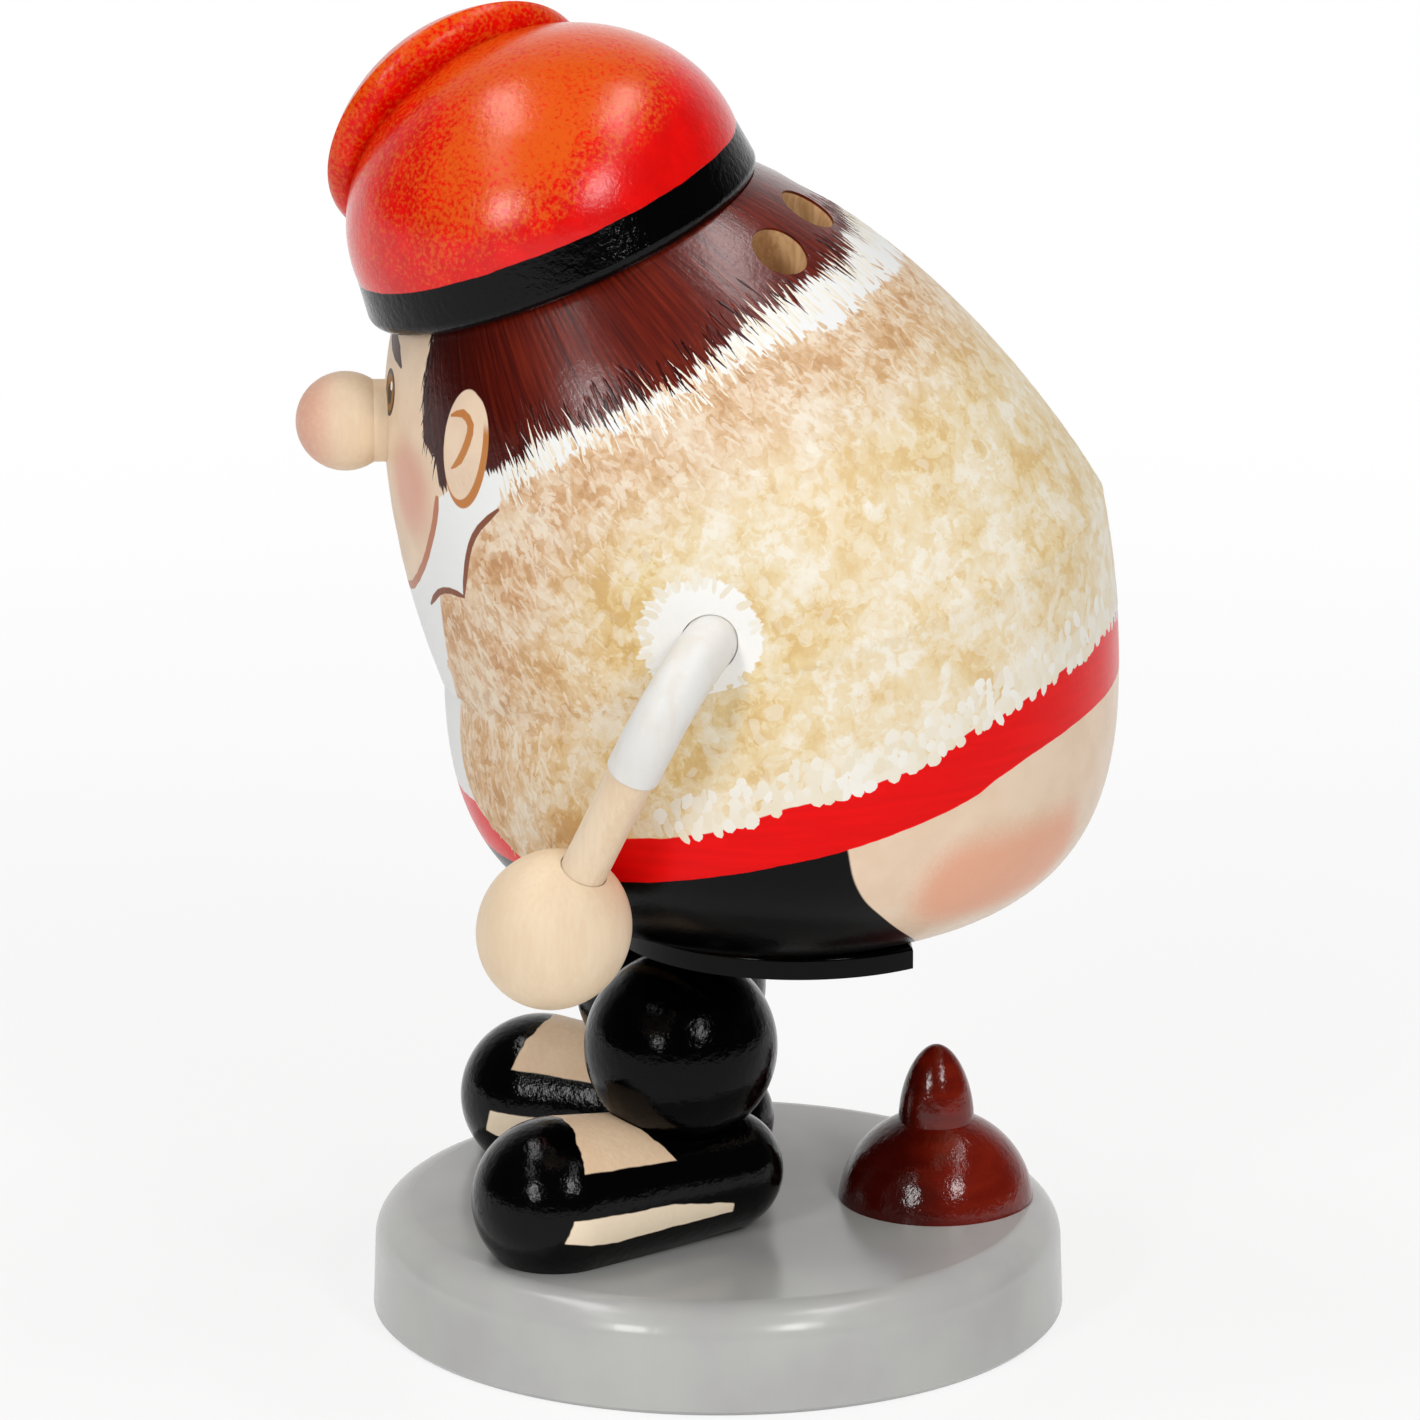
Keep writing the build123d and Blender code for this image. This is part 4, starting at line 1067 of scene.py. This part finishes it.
# %% Measures on the guides
around_abs, lower_abs = np.abs(upper_grid[0]), np.abs(lower_grid[0])
hair_line = upper_grid[1] - read(hair_edge, around_abs)
fur_line = read(fur_edge, around_abs) - upper_grid[1]
burn_line = around_abs - read(sideburn_edge, upper_grid[1])
hem_share = fade(lower_spots[..., 1], hem_start, hem_full)
sash_line = (lower_spots[..., 2] - read(sash_top, lower_spots[..., 1])
             + hem_drop * hem_share ** 2 * (3 - 2 * hem_share))


def folded(spots):
    """The same places, with the right side folded onto the left."""
    return np.concatenate([np.abs(spots[..., :1]), spots[..., 1:]], -1)


def outside_vest(spots):
    """How far a place lies behind the vest's front edge, in millimetres."""
    beside = np.abs(spots[..., 0]) - read(vest_edge, spots[..., 2])
    return np.where(spots[..., 1] > 0, 9.0, beside)


def from_places(spots, places):
    """How far each place lies from the nearest of some others, in millimetres."""
    return np.linalg.norm(spots[..., None, :] - np.atleast_2d(places), axis=-1).min(-1)


vent_turns, vent_up = (-34.5, -11.5, 11.5, 34.5), 43.2
vents = np.array([body_point(np.array(180.0 + turn), np.array(vent_up)) for turn in vent_turns])
from_vent = from_places(upper_spots, vents)
from_lapel = from_places(folded(upper_spots), np.array(smooth(lapel_upper) + smooth(lapel_lower)))
upper_arm, lower_arm = (
    from_places(folded(spots), shoulder_place) for spots in (upper_spots, lower_spots))
ear_stretch = np.array((1.0, 1.0, 1.35))
from_ear = from_places(folded(upper_spots) / ear_stretch, np.array(ear_place) / ear_stretch)
turn, rise = upper_grid
down_upper = body_point(turn, rise - 0.5) - body_point(turn, rise + 0.5)
down_lower = np.broadcast_to(np.array((0.0, 0.0, -1.0)), lower_spots.shape)
forward = np.sign(turn)[..., None] * (body_point(turn - 0.5, rise) - body_point(turn + 0.5, rise))
print("guides measured; smoke holes at", np.round(vents[2:], 1).tolist())


# %% Fur dabs on both halves
def drift(spots):
    """A slow change over the body, 0 to 1, so that dabs gather in clumps."""
    x, y, z = np.moveaxis(spots, -1, 0)
    waves = ((0.41, 0.22, 0.35, 0.0), (-0.28, 0.47, 0.19, 1.7), (0.17, -0.33, 0.52, 3.1),
             (0.55, 0.12, -0.4, 4.4))
    total = sum(np.sin(a * x + b * y + c * z + d) for a, b, c, d in waves)
    return np.clip(0.5 + total / len(waves), 0, 1)


arm_clear, edge_clear, lapel_clear = 6.9, 0.4, 2.0
upper_fur = ((fur_line > 0.2) & (upper_seam > 0) & (outside_vest(upper_spots) > edge_clear)
             & (upper_arm > arm_clear) & (from_lapel > lapel_clear))
lower_fur = ((sash_line > 1.2) & (lower_seam < 0) & (outside_vest(lower_spots) > edge_clear)
             & (lower_arm > arm_clear))
upper_gold = (fade(upper_spots[..., 2], 92, 78) * 0.2 + fade(around_abs, 105, 145) * 0.3
              + fade(around_abs, 96, 72) * 0.3)
upper_tan = np.clip(fade(around_abs, 80, 43) * 0.7 + fade(fur_line, 15, 3) * 0.8, 0, 0.85)
under_arm = fade(lower_spots[..., 1], -1, -7) * fade(sash_line, 18, 5)
lower_gold = np.maximum(fade(sash_line, 16, 1), 0.3) * 0.15 + under_arm * 0.55
lower_tan = fade(lower_abs, 66, 30) * 0.75
upper_tints, lower_tints = dict(gold=upper_gold, tan=upper_tan), dict(gold=lower_gold, tan=lower_tan)

clumps = upper_fur * (0.15 + 0.85 * drift(upper_spots)) * (1 - 0.6 * upper_tan)
brush_on("fur_dabs_upper", "fur dab", 3, fur_paint, upper_spots, clumps,
         down_upper + 0.5 * forward, **upper_tints)
clumps = lower_fur * (0.15 + 0.85 * drift(lower_spots)) * (1 - 0.6 * lower_tan)
brush_on("fur_dabs_lower", "fur dab", 5, fur_paint, lower_spots, clumps, down_lower, **lower_tints)
seam_fur = (np.abs(upper_seam) < 1.3) & (outside_vest(upper_spots) > 1.6) & (upper_arm > 6.0)
brush_on("fur_dabs_seam", "seam dab", 6, fur_paint, upper_spots, seam_fur, down_upper, **upper_tints)

# %% Thin strokes towards the vest's front and collar
thick = upper_fur * np.clip(upper_tan * 1.6 - 0.15, 0, 1)
brush_on("vest_strokes_upper", "vest stroke", 31, fur_paint, upper_spots, thick,
         down_upper - 0.35 * forward, **upper_tints)
thick = lower_fur * np.clip(lower_tan * 1.6 - 0.15, 0, 1)
brush_on("vest_strokes_lower", "vest stroke", 32, fur_paint, lower_spots, thick,
         down_lower, **lower_tints)
edge_band = (fur_line > -1.6) & (fur_line < 0.8) & (around_abs > 40) & (from_lapel > lapel_clear)
brush_on("collar_fur_strokes", "collar tuft", 33, fur_paint, upper_spots, edge_band * 0.45,
         -down_upper, **upper_tints)

# %% White fringe over the sash
turns = np.linspace(-179.5, 179.5, 480)
sash_height, closing_steps = np.full(turns.shape, 18.0), 8
for _ in range(closing_steps):
    sash_height = read(sash_top, bowl_point(turns, sash_height)[..., 1]) - seat_height

for name, low, high, rows, seed in (("sash_fringe", -0.1, 0.45, 2, 7),
                                    ("sash_fringe_upper", 1.0, 4.4, 4, 9)):
    heights = sash_height[:, None] + np.linspace(low, high, rows)
    spots = bowl_point(np.repeat(turns[:, None], rows, 1), heights)
    behind_arm = fade(spots[..., 1], -9, -5) * np.linspace(1.0, 0.35, rows)
    down = np.broadcast_to(down_lower[0, 0], spots.shape)
    brush_on(name, "fringe", seed, white_paint, spots, behind_arm, down)

# %% White rays round the arms
shoulder_normal = Vector((1.0, -0.12, 0.14)).normalized()
ring_across = shoulder_normal.cross(Vector((0, 0, 1))).normalized()
ring_up = ring_across.cross(shoulder_normal)
ring_turn, ring_reach = np.meshgrid(
    np.radians(np.linspace(0, 360, 73)), np.linspace(5.9, 6.7, 3), indexing="ij")
spokes = (np.cos(ring_turn)[..., None] * np.array(ring_across)
          + np.sin(ring_turn)[..., None] * np.array(ring_up))
rayed = np.clip(0.5 - 0.6 * spokes[..., 1] + 0.35 * spokes[..., 2], 0.12, 1)
for name, side, seed in (("arm_rays_left", 1.0, 11), ("arm_rays_right", -1.0, 12)):
    fold = np.array((side, 1.0, 1.0))
    spots = (np.array(shoulder_place) + ring_reach[..., None] * spokes) * fold
    brush_on(name, "ray", seed, white_paint, spots, rayed, spokes * fold)

# %% Hair points over the collar, and white streaks between them
front_dark = fade(around_abs, 84, 46) * 0.75
hair_band = ((hair_line > -1.5) & (hair_line < 2.0) & (burn_line > 1.0)
             & (from_vent > 4.4) & (from_ear > 6.2))
clumps = hair_band * (0.3 + 0.7 * drift(2.2 * upper_spots))
brush_on("hair_points", "hair", 17, hair_paint, upper_spots, clumps, down_upper, dark=front_dark)
burn_band = ((burn_line > -0.8) & (burn_line < 1.8) & (upper_grid[1] > 42) & (upper_grid[1] < 60)
             & (from_ear > 5.0))
brush_on("sideburn_points", "sideburn", 19, hair_paint, upper_spots, burn_band,
         down_upper + 1.2 * forward, dark=front_dark)
collar_band = ((hair_line > -3.0) & (hair_line < 1.2) & (around_abs > 52) & (from_vent > 4.6)
               & (from_ear > 6.0))
brush_on("collar_streaks", "streak", 23, white_paint, upper_spots, collar_band * 0.8, -down_upper)

# %% [markdown] ## End
